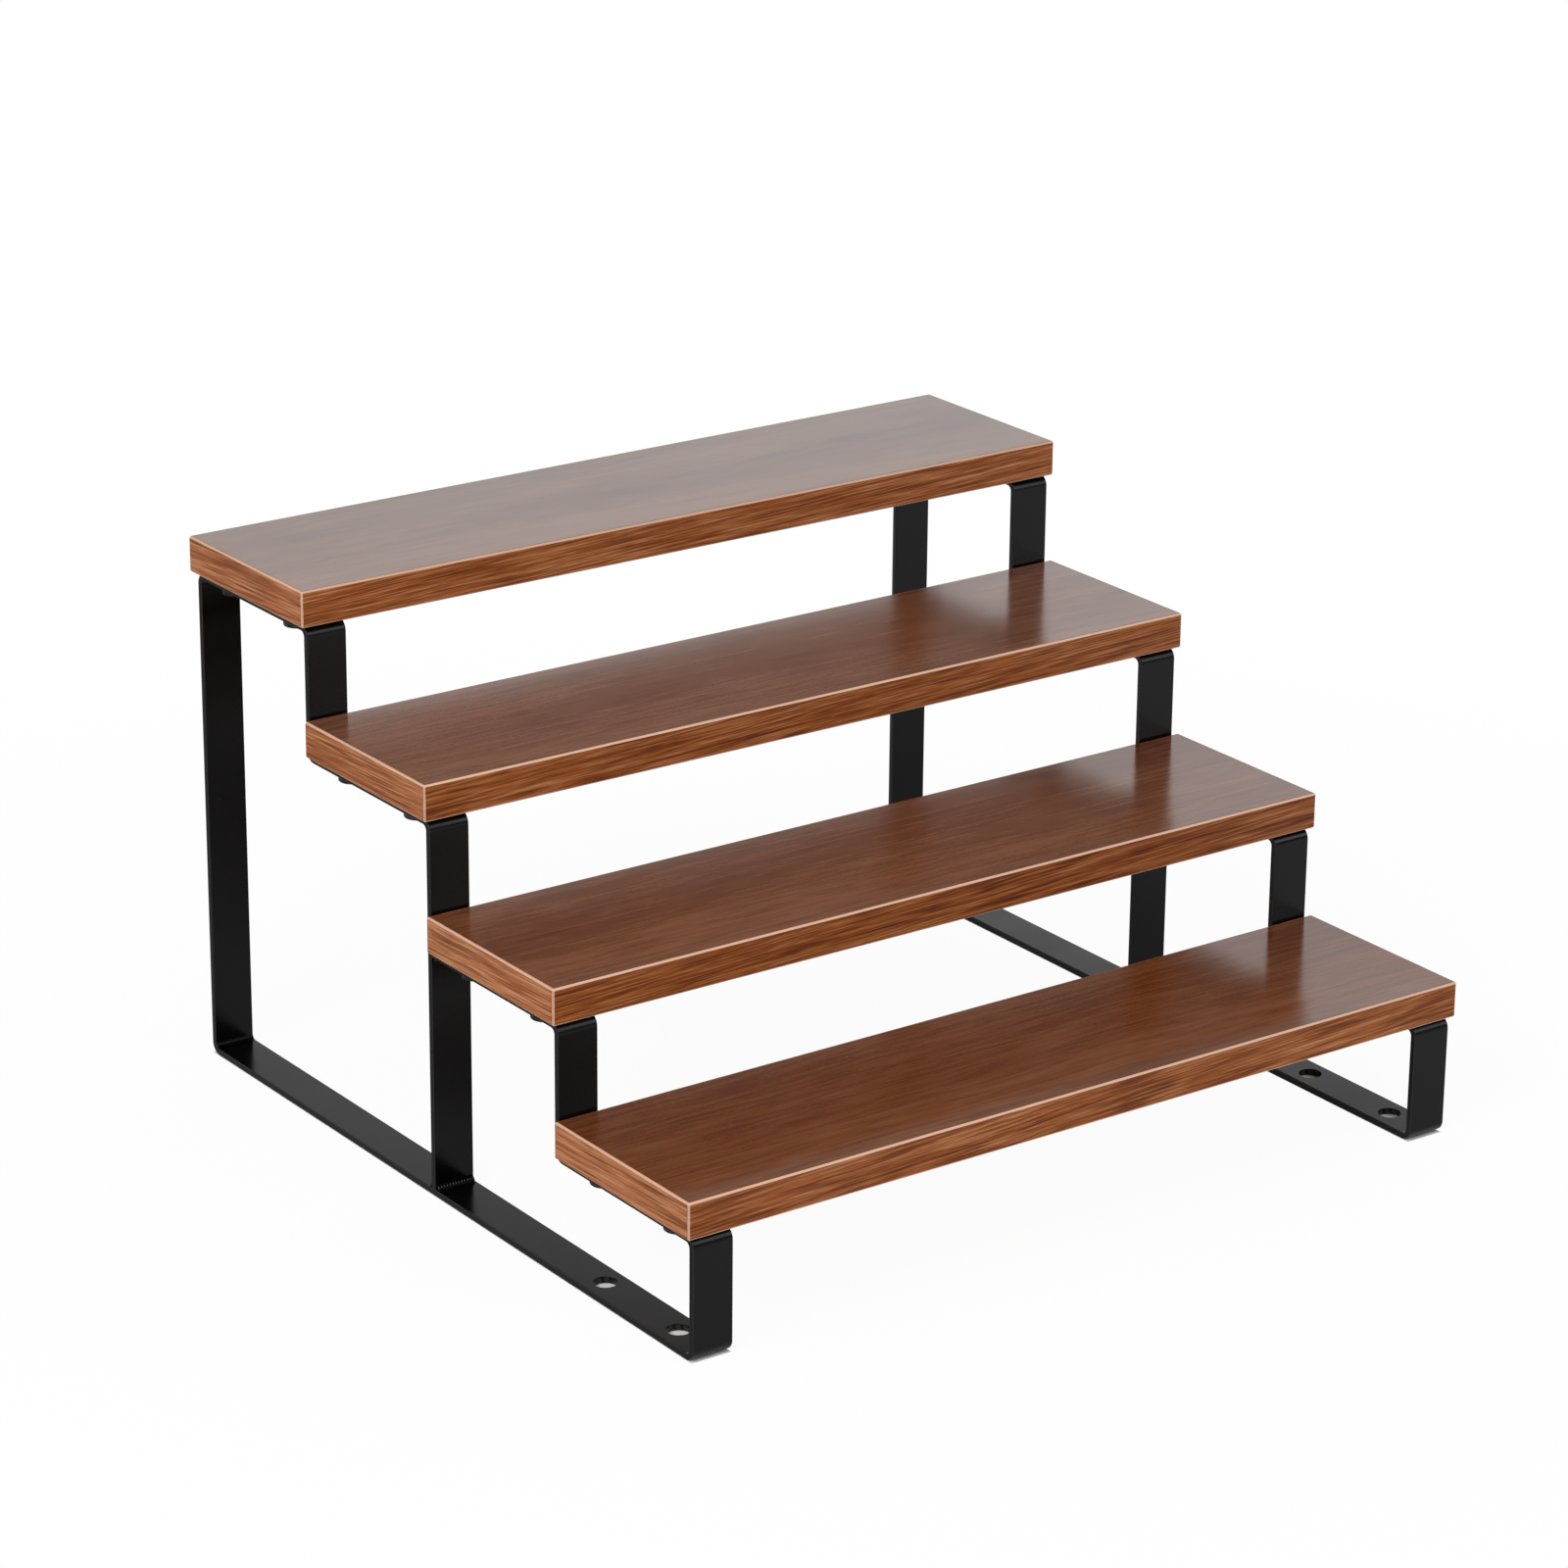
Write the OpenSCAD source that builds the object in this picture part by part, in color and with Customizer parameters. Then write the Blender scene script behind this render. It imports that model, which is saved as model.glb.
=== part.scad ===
// Tiered display stand. Laminated boards climb like steps on two frames of bent flat
// bar, and each board is screwed to both frames from below.
// Millimetres. +X runs along the boards, +Y from the front to the rear, and +Z up.
// The origin is on the floor, at the middle of the footprint.
// Tiers are counted from the lowest one, which is at the front.

/* [Tiers] */
// Number of tiers
tiers = 4; // [2:1:5]
// Height that each tier gains on the one in front of it
rise = 60; // [45:1:150]
// Height of the lowest board's underside above the floor
first_seat_h = 56.5; // [40:0.5:150]

/* [Boards] */
// Length of a board, from side to side
board_len = 420; // [200:5:900]
// Depth of a board, from its front edge to its rear edge
board_depth = 100; // [80:5:200]
// Thickness of the core
core_t = 16; // [15:1:30]
// Thickness of the laminate on each face of the core
laminate_t = 0.5; // [0.3:0.1:1.5]
// Thickness of the bands round the core's edges
band_t = 1.2; // [0.8:0.1:3]
// Width of the bevel on every outer edge of the bands
band_bevel = 0.8; // [0.1:0.1:0.8]

/* [Frames] */
// Width of the flat bar
bar_w = 20; // [16:1:40]
// Thickness of the flat bar
bar_t = 3; // [2:0.5:5]
// Radius inside each bend of the bar
bend_r = 2.5; // [1:0.5:5]
// Distance from a board's end in to the frame's outer side
frame_inset = 3; // [0:0.5:60]
// Distance from a board's front edge back to the bar under it
front_setback = 1; // [0.5:0.5:6]
// Distance from the top board's rear edge in to the rear upright
rear_setback = 2; // [0:0.5:30]
// Leg of the weld fillets
weld_leg = 2.5; // [1.5:0.5:4]
// Distance that a weld fillet stops short of the bar's sides
weld_stop = 0.8; // [0:0.1:4]

/* [Screws] */
// Diameter of the screw thread
screw_d = 5; // [3.5:0.5:6]
// Length of screw in the board
screw_bite = 12; // [8:0.5:14]
// Distance between two crests of the thread
thread_pitch = 2; // [1:0.25:3]
// Diameter of the screw head
head_d = 13; // [9:0.5:15]
// Height of the screw head
head_h = 3.7; // [2.5:0.1:4.5]
// Height of the domed part of the head
head_dome = 0.7; // [0.5:0.1:2]
// Length of each slot of the cross recess
recess_len = 5; // [3:0.5:6]
// Width of each slot of the cross recess
recess_w = 1.2; // [0.6:0.1:1.8]
// Depth of the cross recess
recess_depth = 2; // [1:0.1:2.2]
// Outer diameter of the washer
washer_d = 14; // [10:0.5:16]
// Thickness of the washer
washer_t = 1; // [0.8:0.1:1.6]
// Distance from a board's front edge back to its front screws
front_screw_inset = 26; // [16:1:32]
// Distance from a board's rear edge in to its rear screws
rear_screw_inset = 19; // [16:1:32]
// Diameter of the screwdriver access holes in the floor rails
access_d = 10.4; // [8:0.1:12]

/* [Hidden] */
$fn = 96;
TIER_PIECES = [
    "core", "top_laminate", "bottom_laminate",
    "front_band", "rear_band", "left_band", "right_band",
    "screws", "washers"
];
FRAME_PIECES = ["bar", "step_weld", "foot_weld"];

LEFT = -1;
RIGHT = 1;
CORE_COLOUR = "#c2a27a";
LAMINATE_COLOUR = "#5d3b29";
BAND_COLOUR = "#8f5a38";
BAR_COLOUR = "#1d1d1e";
FASTENER_COLOUR = "#3a3a3c";

// Gap around the screw in the board's pilot hole, on the radius
pilot_clear = 0.1;
// Gap past the screw's tip at the bottom of the pilot hole
tip_clear = 0.5;
// Gap around the screw in the bar, on the radius
bar_clear = 0.25;
// Gap around the screw in the washer, on the radius
washer_clear = 0.15;
// Length that a cutting tool runs past the surface it cuts
overcut = 1;

board_t = core_t + 2 * laminate_t;
stand_depth = tiers * board_depth;
// Distance from the stand's middle to the middle line of each frame's bar
bar_x = board_len / 2 - frame_inset - bar_w / 2;
// Radius of a bend on the bar's middle line
bend_line_r = bend_r + bar_t / 2;
screw_ys = [front_screw_inset, board_depth - rear_screw_inset];
screw_root_r = 0.36 * screw_d;
screw_tip_len = 0.7 * screw_d;
neck_len = washer_t + bar_t;
screw_len = neck_len + screw_bite;
thread_rings = floor((screw_bite - screw_tip_len) / thread_pitch);

// The post stands between this tier and the next one
post_tier = floor(tiers / 2);
rail_z = bar_t / 2;
rear_y = stand_depth / 2 - rear_setback - bar_t / 2;

// Front edge of a tier's board
function tier_y(tier) = (tier - 1) * board_depth - stand_depth / 2;

// Underside of a tier's board, which is the upper face of the bar under it
function seat_z(tier) = first_seat_h + (tier - 1) * rise;

// Middle line of the riser behind a tier's board; behind tier 0 it is the front leg
function riser_y(tier) = tier_y(tier + 1) + front_setback + bar_t / 2;

// Middle line of the run of bar under a tier's board
function run_z(tier) = seat_z(tier) - bar_t / 2;

// Where the bar that drops in front of a tier ends: on the rail, or in the next run
function drop_end(tier) =
    tier == 1 ? rail_z :
    tier == post_tier + 1 ? bar_t :
    run_z(tier - 1);

// Middle line down a flight of steps, as points in the YZ plane
function steps_down(from, to) = [
    for (tier = [from : -1 : to])
        each [[riser_y(tier - 1), run_z(tier)], [riser_y(tier - 1), drop_end(tier)]]
];

// Front face of the post
post_front_y = riser_y(post_tier) - bar_t / 2;

// Middle line of a frame's bar, bent from one length: it starts butted to the post's
// front face, steps down to the floor, runs back as the rail, rises as the rear upright,
// and steps down again into the post, which ends butted to the top of the rail.
BAR_LINE = concat(
    [[post_front_y, run_z(post_tier)]],
    steps_down(post_tier, 1),
    [[rear_y, rail_z], [rear_y, run_z(tiers)]],
    steps_down(tiers, post_tier + 1)
);

function unit(v) = v / norm(v);

module on_tier(tier) {
    translate([0, tier_y(tier), seat_z(tier)]) children();
}

module at_screws(sides = [LEFT, RIGHT]) {
    for (side = sides)
        for (y = screw_ys)
            translate([side * bar_x, y, 0]) children();
}

// A shape drawn in the YZ plane, drawn out along X about the middle
module along_x(length) {
    rotate([90, 0, 90]) linear_extrude(length, center = true) children();
}

module bevelled_rectangle(w, h) {
    b = band_bevel;
    polygon([
        [b, 0], [w - b, 0], [w, b], [w, h - b],
        [w - b, h], [b, h], [0, h - b], [0, b]
    ]);
}

// The whole board as one block, with every outer edge bevelled
module board_block() {
    intersection() {
        along_x(board_len) bevelled_rectangle(board_depth, board_t);
        translate([-board_len / 2, 0, 0])
            linear_extrude(board_t) bevelled_rectangle(board_len, board_depth);
        translate([-board_len / 2, board_depth, 0])
            rotate([90, 0, 0])
                linear_extrude(board_depth) bevelled_rectangle(board_len, board_t);
    }
}

// A sheet inside the bands, from height z up, in a board's own frame
module inner_sheet(z, thickness) {
    translate([band_t - board_len / 2, band_t, z])
        cube([board_len - 2 * band_t, board_depth - 2 * band_t, thickness]);
}

module pilot_holes() {
    at_screws()
        translate([0, 0, -overcut])
            cylinder(r = screw_d / 2 + pilot_clear, h = overcut + screw_bite + tip_clear);
}

module core(tier) {
    color(CORE_COLOUR)
        on_tier(tier)
            difference() {
                inner_sheet(laminate_t, core_t);
                pilot_holes();
            }
}

module top_laminate(tier) {
    color(LAMINATE_COLOUR)
        on_tier(tier)
            inner_sheet(laminate_t + core_t, laminate_t);
}

module bottom_laminate(tier) {
    color(LAMINATE_COLOUR)
        on_tier(tier)
            difference() {
                inner_sheet(0, laminate_t);
                pilot_holes();
            }
}

// The long bands cover the ends of the short ones
module long_band(tier, y) {
    color(BAND_COLOUR)
        on_tier(tier)
            intersection() {
                board_block();
                translate([-board_len / 2, y, 0]) cube([board_len, band_t, board_t]);
            }
}

module short_band(tier, x) {
    color(BAND_COLOUR)
        on_tier(tier)
            intersection() {
                board_block();
                translate([x, band_t, 0])
                    cube([band_t, board_depth - 2 * band_t, board_t]);
            }
}

module front_band(tier) {
    long_band(tier, 0);
}

module rear_band(tier) {
    long_band(tier, board_depth - band_t);
}

module left_band(tier) {
    short_band(tier, -board_len / 2);
}

module right_band(tier) {
    short_band(tier, board_len / 2 - band_t);
}

// Straight stretch of bar between two points of the middle line, cut back at each end
// by the bend that it runs into
module bar_stretch(from, to, cut_from, cut_to) {
    way = to - from;
    translate(from)
        rotate(atan2(way.y, way.x))
            translate([cut_from, -bar_t / 2])
                square([norm(way) - cut_from - cut_to, bar_t]);
}

// Quarter bend at a corner of the middle line
module bar_bend(before, corner, after) {
    way_in = unit(corner - before);
    way_out = unit(after - corner);
    outside = way_in - way_out;
    outer_r = bend_r + bar_t;
    translate(corner + (way_out - way_in) * bend_line_r)
        intersection() {
            difference() {
                circle(outer_r);
                circle(bend_r);
            }
            translate([min(outside.x, 0), min(outside.y, 0)] * outer_r) square(outer_r);
        }
}

module bar_outline() {
    last = len(BAR_LINE) - 1;
    for (i = [0 : last - 1])
        bar_stretch(
            BAR_LINE[i], BAR_LINE[i + 1],
            i == 0 ? 0 : bend_line_r,
            i == last - 1 ? 0 : bend_line_r
        );
    for (i = [1 : last - 1])
        bar_bend(BAR_LINE[i - 1], BAR_LINE[i], BAR_LINE[i + 1]);
}

module bar(side) {
    color(BAR_COLOUR)
        difference() {
            translate([side * bar_x, 0, 0]) along_x(bar_w) bar_outline();
            for (tier = [1 : tiers])
                on_tier(tier)
                    at_screws([side])
                        translate([0, 0, -bar_t - overcut])
                            cylinder(r = screw_d / 2 + bar_clear, h = bar_t + 2 * overcut);
            // Access holes, straight below the screws of the lowest board
            translate([0, tier_y(1), -overcut])
                at_screws([side]) cylinder(d = access_d, h = bar_t + 2 * overcut);
        }
}

// Weld bead that fills a corner; the ways say which side of the corner it fills
module fillet(side, y, z, y_way, z_way) {
    color(BAR_COLOUR)
        translate([side * bar_x, y, z])
            along_x(bar_w - 2 * weld_stop)
                intersection() {
                    circle(weld_leg);
                    translate([min(y_way, 0), min(z_way, 0)] * weld_leg) square(weld_leg);
                }
}

// Bead under the run that is butted to the post's front face
module step_weld(side) {
    fillet(side, post_front_y, seat_z(post_tier) - bar_t, -1, -1);
}

// Beads in front of the post's foot and behind it
module foot_weld(side) {
    fillet(side, post_front_y, bar_t, -1, 1);
    fillet(side, post_front_y + bar_t, bar_t, 1, 1);
}

// Outline of half the threaded part: two points for each ring of thread
function thread_outline() = [
    for (ring = [0 : thread_rings - 1])
        each [
            [screw_root_r, neck_len + ring * thread_pitch],
            [screw_d / 2, neck_len + (ring + 0.5) * thread_pitch]
        ]
];

// A screw that points up, with the underside of its head at z = 0
module screw() {
    dome_r = (pow(head_d / 2, 2) + pow(head_dome, 2)) / (2 * head_dome);
    rotate_extrude()
        polygon(concat(
            [[0, 0], [screw_d / 2, 0], [screw_d / 2, neck_len]],
            thread_outline(),
            [
                [screw_root_r, neck_len + thread_rings * thread_pitch],
                [screw_root_r, screw_len - screw_tip_len],
                [0, screw_len]
            ]
        ));
    difference() {
        intersection() {
            translate([0, 0, -head_h]) cylinder(d = head_d, h = head_h);
            translate([0, 0, dome_r - head_h]) sphere(dome_r);
        }
        for (turn = [0, 90])
            rotate(turn)
                translate([-recess_len / 2, -recess_w / 2, -head_h - overcut])
                    cube([recess_len, recess_w, recess_depth + overcut]);
    }
}

module screws(tier) {
    color(FASTENER_COLOUR)
        on_tier(tier)
            at_screws() translate([0, 0, -neck_len]) screw();
}

module washers(tier) {
    color(FASTENER_COLOUR)
        on_tier(tier)
            at_screws()
                translate([0, 0, -neck_len])
                    difference() {
                        cylinder(d = washer_d, h = washer_t);
                        translate([0, 0, -overcut])
                            cylinder(
                                r = screw_d / 2 + washer_clear,
                                h = washer_t + 2 * overcut
                            );
                    }
}

for (tier = [1 : tiers]) {
    core(tier);
    top_laminate(tier);
    bottom_laminate(tier);
    front_band(tier);
    rear_band(tier);
    left_band(tier);
    right_band(tier);
    screws(tier);
    washers(tier);
}
bar(LEFT);  // left_bar
bar(RIGHT);  // right_bar
step_weld(LEFT);  // left_step_weld
step_weld(RIGHT);  // right_step_weld
foot_weld(LEFT);  // left_foot_weld
foot_weld(RIGHT);  // right_foot_weld
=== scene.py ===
"""Looks of the tiered display stand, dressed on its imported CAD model.

Four laminated boards climb like steps on two frames of bent flat bar. Lengths are in
metres in the model's own frame: +X runs along the boards, +Y from the front to the rear
and +Z up, with the origin on the floor at the middle of the footprint.
"""

import logging
import math
from dataclasses import dataclass, fields, replace
from enum import Enum
from typing import Any, Iterable, Sequence

import bmesh
import bpy
from mathutils import Matrix, Vector


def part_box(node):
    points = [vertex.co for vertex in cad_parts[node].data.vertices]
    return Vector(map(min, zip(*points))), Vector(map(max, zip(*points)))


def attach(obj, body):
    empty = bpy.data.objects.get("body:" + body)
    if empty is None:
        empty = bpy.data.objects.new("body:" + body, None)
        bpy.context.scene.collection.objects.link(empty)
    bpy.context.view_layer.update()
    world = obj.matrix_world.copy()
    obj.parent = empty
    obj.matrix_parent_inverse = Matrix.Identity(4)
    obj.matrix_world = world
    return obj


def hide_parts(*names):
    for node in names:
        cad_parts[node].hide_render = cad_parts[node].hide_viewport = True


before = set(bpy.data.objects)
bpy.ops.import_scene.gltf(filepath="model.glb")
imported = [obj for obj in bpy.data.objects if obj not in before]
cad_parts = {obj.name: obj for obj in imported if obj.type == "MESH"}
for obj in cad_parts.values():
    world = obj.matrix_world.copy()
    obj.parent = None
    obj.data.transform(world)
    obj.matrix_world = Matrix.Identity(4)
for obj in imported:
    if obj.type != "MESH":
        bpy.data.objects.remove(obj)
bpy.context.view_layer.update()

MM = 0.001
BODY = "root"
TIERS = (1, 2, 3, 4)
QUARTER = math.pi / 2
WHITE = (1.0, 1.0, 1.0, 1.0)

# Y of the lowest board's front, and how far each board stands behind the one before
BOARDS_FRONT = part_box("tier_1_front_band")[0].y
BOARDS_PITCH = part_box("tier_2_front_band")[0].y - BOARDS_FRONT

# Attributes that the meshes carry for the shaders and the geometry trees
SCRAPED = "scraped"
TONE = "tone"
RIM = "rim"
HOLE_DIAMETER = "hole_diameter"
BEAD_WAY = "bead_way"

# Ranges of a noise's values over which each mask of the shader groups goes from 0 to 1
FIGURE_RANGE = (0.36, 0.64)
STREAK_RANGE = (0.38, 0.62)
LINE_RANGE = (0.45, 0.38)
PORE_RANGE = (0.57, 0.66)
SMUDGE_RANGE = (0.35, 0.68)
PATCH_RANGE = (0.05, 0.22)

# Scales of the slow noises that bend the grain and smudge a surface
BEND_SCALE = 14.0
SMUDGE_SCALE = 22.0

# How much faster the grain's bends change along it and across it than that scale says
BEND_STRETCH = (1.0, 3.0, 3.0)

# Size of a pore beside a streak's, and share of the streaks in the wood's relief
PORE_SIZE = 0.4
STREAK_RELIEF = 0.4

# A speck's size in cells, and how far from a cell's middle it starts to fade and ends
SPECK_IN_CELL = 0.12
SPECK_RANGE = (0.02, 0.10)

# How much of the noise the bare share of a worn edge takes away
BARE_LOSS = 0.8

# How fast a thread rises and fades along the screw, and its least depth
THREAD_RISE = 8.0
THREAD_FADE = 5.0
LEAST_THREAD = 0.05

# The pit of a cross recess: its top beside a slot's width, and its depth beside a slot's
PIT_TOP = 0.4
PIT_DEPTH = 1.1

# How many sides round faces have, and how many steps of a weld each ripple has
ROUND_SIDES = 48
RIPPLE_STEPS = 8.0

# How near two points are one, and how far past a flat face a point is on its rounded edge
MERGE_REACH = 0.001 * MM
PAST_FLAT = 0.01 * MM

Colour = tuple[float, float, float]
Inputs = dict[str | int, Any]
Material = bpy.types.Material
Object = bpy.types.Object
Socket = bpy.types.NodeSocket
Tree = bpy.types.NodeTree
log = logging.getLogger("tiered_display_stand")


class Side(Enum):
    """Which frame of the stand, by the sign of its X."""

    LEFT = -1
    RIGHT = 1


class Facing(Enum):
    """The ways that the upright faces of an edge band can face."""

    LEFT = (-1, 0, 0)
    RIGHT = (1, 0, 0)
    FRONT = (0, -1, 0)
    REAR = (0, 1, 0)


class Grain(Enum):
    """Which way the wood's grain runs, as the turn about Z that lays it along X."""

    ALONG_X = 0.0
    ALONG_Y = -90.0


def as_inputs(sizes: Any) -> dict[str, Any]:
    """A dataclass's fields by the names that node inputs have: bar_width becomes Bar Width."""
    return {item.name.replace("_", " ").title(): getattr(sizes, item.name) for item in fields(sizes)}


class Graph:
    """Adds nodes to a node tree and links them, so that a tree reads as a recipe."""

    def __init__(self, tree: Tree) -> None:
        """Starts on a shader or geometry tree."""
        self.tree = tree

    def add(self, kind: str, inputs: Inputs | None = None, **settings: Any) -> bpy.types.Node:
        """Adds one node.

        Args:
            kind: The node's type name.
            inputs: A value or a socket to link for each input, by its name or number.
            **settings: The node's own settings, which are made first.

        Returns:
            The new node.
        """
        node = self.tree.nodes.new(kind)
        for name, value in settings.items():
            setattr(node, name, value)
        for key, value in (inputs or {}).items():
            self.feed(node.inputs[key], value)
        return node

    def out(self, kind: str, inputs: Inputs | None = None, **settings: Any) -> Socket:
        """The first output of one node, which is added as add says."""
        return self.add(kind, inputs, **settings).outputs[0]

    def feed(self, socket: Socket, value: Any) -> None:
        """Links a socket to an input, or sets the input's value."""
        if isinstance(value, Socket):
            self.tree.links.new(value, socket)
        else:
            socket.default_value = value

    def group(self, tree: Tree, vector: Socket, sizes: Any, **others: Any) -> Any:
        """The outputs of a shared shader group, with a dataclass's fields as its inputs."""
        inputs = {"Vector": vector, **as_inputs(sizes), **others}
        return self.add("ShaderNodeGroup", inputs, node_tree=tree).outputs

    def math(self, operation: str, first: Any, second: Any = 0.0, clamp: bool = False) -> Socket:
        """The result of a math node on one or two values."""
        return self.out("ShaderNodeMath", {0: first, 1: second}, operation=operation, use_clamp=clamp)

    def vector_math(self, operation: str, first: Any, second: Any) -> Socket:
        """The result of a vector math node on two vectors."""
        return self.out("ShaderNodeVectorMath", {0: first, 1: second}, operation=operation)

    def vector(self, x: Any = 0.0, y: Any = 0.0, z: Any = 0.0) -> Socket:
        """A vector put together from its parts."""
        return self.out("ShaderNodeCombineXYZ", {"X": x, "Y": y, "Z": z})

    def parts(self, vector: Socket) -> Any:
        """The X, Y and Z of a vector, by name."""
        return self.add("ShaderNodeSeparateXYZ", {0: vector}).outputs

    def remap(self, value: Socket, low: float, high: float, start: float = 0.0, end: float = 1.0) -> Socket:
        """A value carried from one range to another, and kept inside the new one."""
        inputs = {"Value": value, "From Min": low, "From Max": high, "To Min": start, "To Max": end}
        return self.out("ShaderNodeMapRange", inputs)

    def mix(self, share: Any, first: Any, second: Any, blend: str = "MIX") -> Socket:
        """Two colours mixed by a share, in a blend mode, where the second may be a plain one."""
        inputs = {0: share, 6: first, 7: (*second, 1.0) if isinstance(second, tuple) else second}
        return self.add("ShaderNodeMix", inputs, data_type="RGBA", blend_type=blend).outputs[2]

    def noise(self, vector: Socket, scale: Any, detail: float = 2.0, roughness: float = 0.5) -> Socket:
        """The value of a noise texture."""
        inputs = {"Vector": vector, "Scale": scale, "Detail": detail, "Roughness": roughness}
        return self.add("ShaderNodeTexNoise", inputs).outputs["Fac"]

    def ramp(self, value: Socket, colours: Sequence[Colour]) -> Socket:
        """A colour for each value from 0 to 1.

        Args:
            value: The value.
            colours: Evenly spaced colours, between which the others are blended.

        Returns:
            The colour.
        """
        node = self.add("ShaderNodeValToRGB", {"Fac": value})
        elements = node.color_ramp.elements
        while len(elements) < len(colours):
            elements.new(0.5)
        for index, colour in enumerate(colours):
            elements[index].position = index / (len(colours) - 1)
            elements[index].color = (*colour, 1.0)
        return node.outputs["Color"]

    def attribute(self, name: str) -> Socket:
        """The value of one of a mesh's own attributes, in a shader."""
        return self.add("ShaderNodeAttribute", attribute_name=name).outputs["Fac"]

    def close(self, geometry: Socket, finish: Socket, result: Socket) -> Tree:
        """Ends a geometry tree with real faces in their finish.

        Args:
            geometry: What the tree has built.
            finish: The material.
            result: The input of the tree's output node.

        Returns:
            The finished tree.
        """
        real = self.out("GeometryNodeRealizeInstances", {"Geometry": geometry})
        self.feed(result, self.out("GeometryNodeSetMaterial", {"Geometry": real, "Material": finish}))
        return self.tree


def new_group(name: str, kind: str, inputs: dict[str, Any], *outputs: str) -> tuple[Graph, Any, Any]:
    """Makes an empty node group with named sockets.

    Args:
        name: The group's name.
        kind: "Shader", whose outputs are numbers, or "Geometry".
        inputs: For each input's name, its default number or the type of its socket.
        *outputs: The outputs' names.

    Returns:
        The group's graph, the outputs of its input node and the inputs of its output node.
    """
    tree = bpy.data.node_groups.new(name, f"{kind}NodeTree")
    for label, value in inputs.items():
        socket_type = value if isinstance(value, str) else type(value).__name__.title()
        socket = tree.interface.new_socket(label, in_out="INPUT", socket_type=f"NodeSocket{socket_type}")
        if socket_type != value:
            socket.default_value = value
    given_out = "NodeSocketFloat" if kind == "Shader" else "NodeSocketGeometry"
    for label in outputs:
        tree.interface.new_socket(label, in_out="OUTPUT", socket_type=given_out)
    graph = Graph(tree)
    return graph, graph.add("NodeGroupInput").outputs, graph.add("NodeGroupOutput").inputs


@dataclass(frozen=True)
class WalnutFigure:
    """Sizes of walnut's figure, and inputs of its shader group.

    Attributes:
        figure_length: Length of the broad figure.
        figure_width: Width of the broad figure.
        streak_length: Length of a streak.
        streak_width: Width of a streak.
        streak_share: Share of the tone that the streaks set, beside the broad figure.
        line_length: Length of a dark line.
        line_width: Width of a dark line.
        waviness: How far the grain wanders sideways.
    """

    figure_length: float = 230 * MM
    figure_width: float = 30 * MM
    streak_length: float = 34 * MM
    streak_width: float = 2.3 * MM
    streak_share: float = 0.5
    line_length: float = 45 * MM
    line_width: float = 3.4 * MM
    waviness: float = 3 * MM


@dataclass(frozen=True)
class FineMarks:
    """Sizes of a surface's fine marks, and inputs of their shader group.

    Attributes:
        speck_size: Size of a dust speck.
        speck_share: Share of the places for a speck that hold one.
        peel_size: Size of the bumps of the orange peel.
    """

    speck_size: float = 0.7 * MM
    speck_share: float = 0.012
    peel_size: float = 2.5 * MM


@dataclass(frozen=True)
class Wear:
    """How the mask of an edge is broken up, and inputs of its shader group.

    Attributes:
        patch_size: Size of a patch.
        cover: Share of the edge that the patches cover.
    """

    patch_size: float = 6 * MM
    cover: float = 0.95


def walnut_group() -> Tree:
    """Builds the shared group for walnut: broad figure, streaks, dark lines and open pores.

    Returns:
        The group. Its Vector is in metres, with the grain along X.
    """
    graph, given, result = new_group(
        "walnut_figure",
        "Shader",
        {"Vector": "Vector", **as_inputs(WalnutFigure())},
        "Tone", "Lines", "Pores", "Height",
    )
    lengthwise = graph.vector_math("MULTIPLY", given["Vector"], BEND_STRETCH)
    bend = graph.math("SUBTRACT", graph.noise(lengthwise, BEND_SCALE, 1.0), 0.5)
    shift = graph.math("MULTIPLY", bend, given["Waviness"])
    wavy = graph.vector_math("ADD", given["Vector"], graph.vector(y=shift, z=shift))

    def stretched(kind: str, size: float = 1.0) -> Socket:
        """The wavy vector, counted in lengths and widths of a feature of the wood.

        Args:
            kind: "Figure", "Streak" or "Line".
            size: Size of the feature, as a share of the kind's.

        Returns:
            The vector.
        """
        along = graph.math("DIVIDE", 1.0 / size, given[f"{kind} Length"])
        across = graph.math("DIVIDE", 1.0 / size, given[f"{kind} Width"])
        return graph.vector_math("MULTIPLY", wavy, graph.vector(along, across, across))

    figure = graph.remap(graph.noise(stretched("Figure"), 1.0, 3.0, 0.5), *FIGURE_RANGE)
    narrow = graph.noise(stretched("Streak"), 1.0, 4.0, 0.6)
    lines = graph.noise(stretched("Line"), 1.0, 2.0, 0.45)
    pores = graph.remap(graph.noise(stretched("Streak", PORE_SIZE), 1.0, 2.0), *PORE_RANGE)
    streaks = graph.remap(narrow, *STREAK_RANGE)
    tone = graph.out("ShaderNodeMix", {0: given["Streak Share"], 2: figure, 3: streaks}, data_type="FLOAT")
    graph.feed(result["Tone"], tone)
    graph.feed(result["Lines"], graph.remap(lines, *LINE_RANGE))
    graph.feed(result["Pores"], pores)
    raised = graph.math("MULTIPLY", narrow, STREAK_RELIEF)
    graph.feed(result["Height"], graph.math("SUBTRACT", raised, pores))
    return graph.tree


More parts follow.
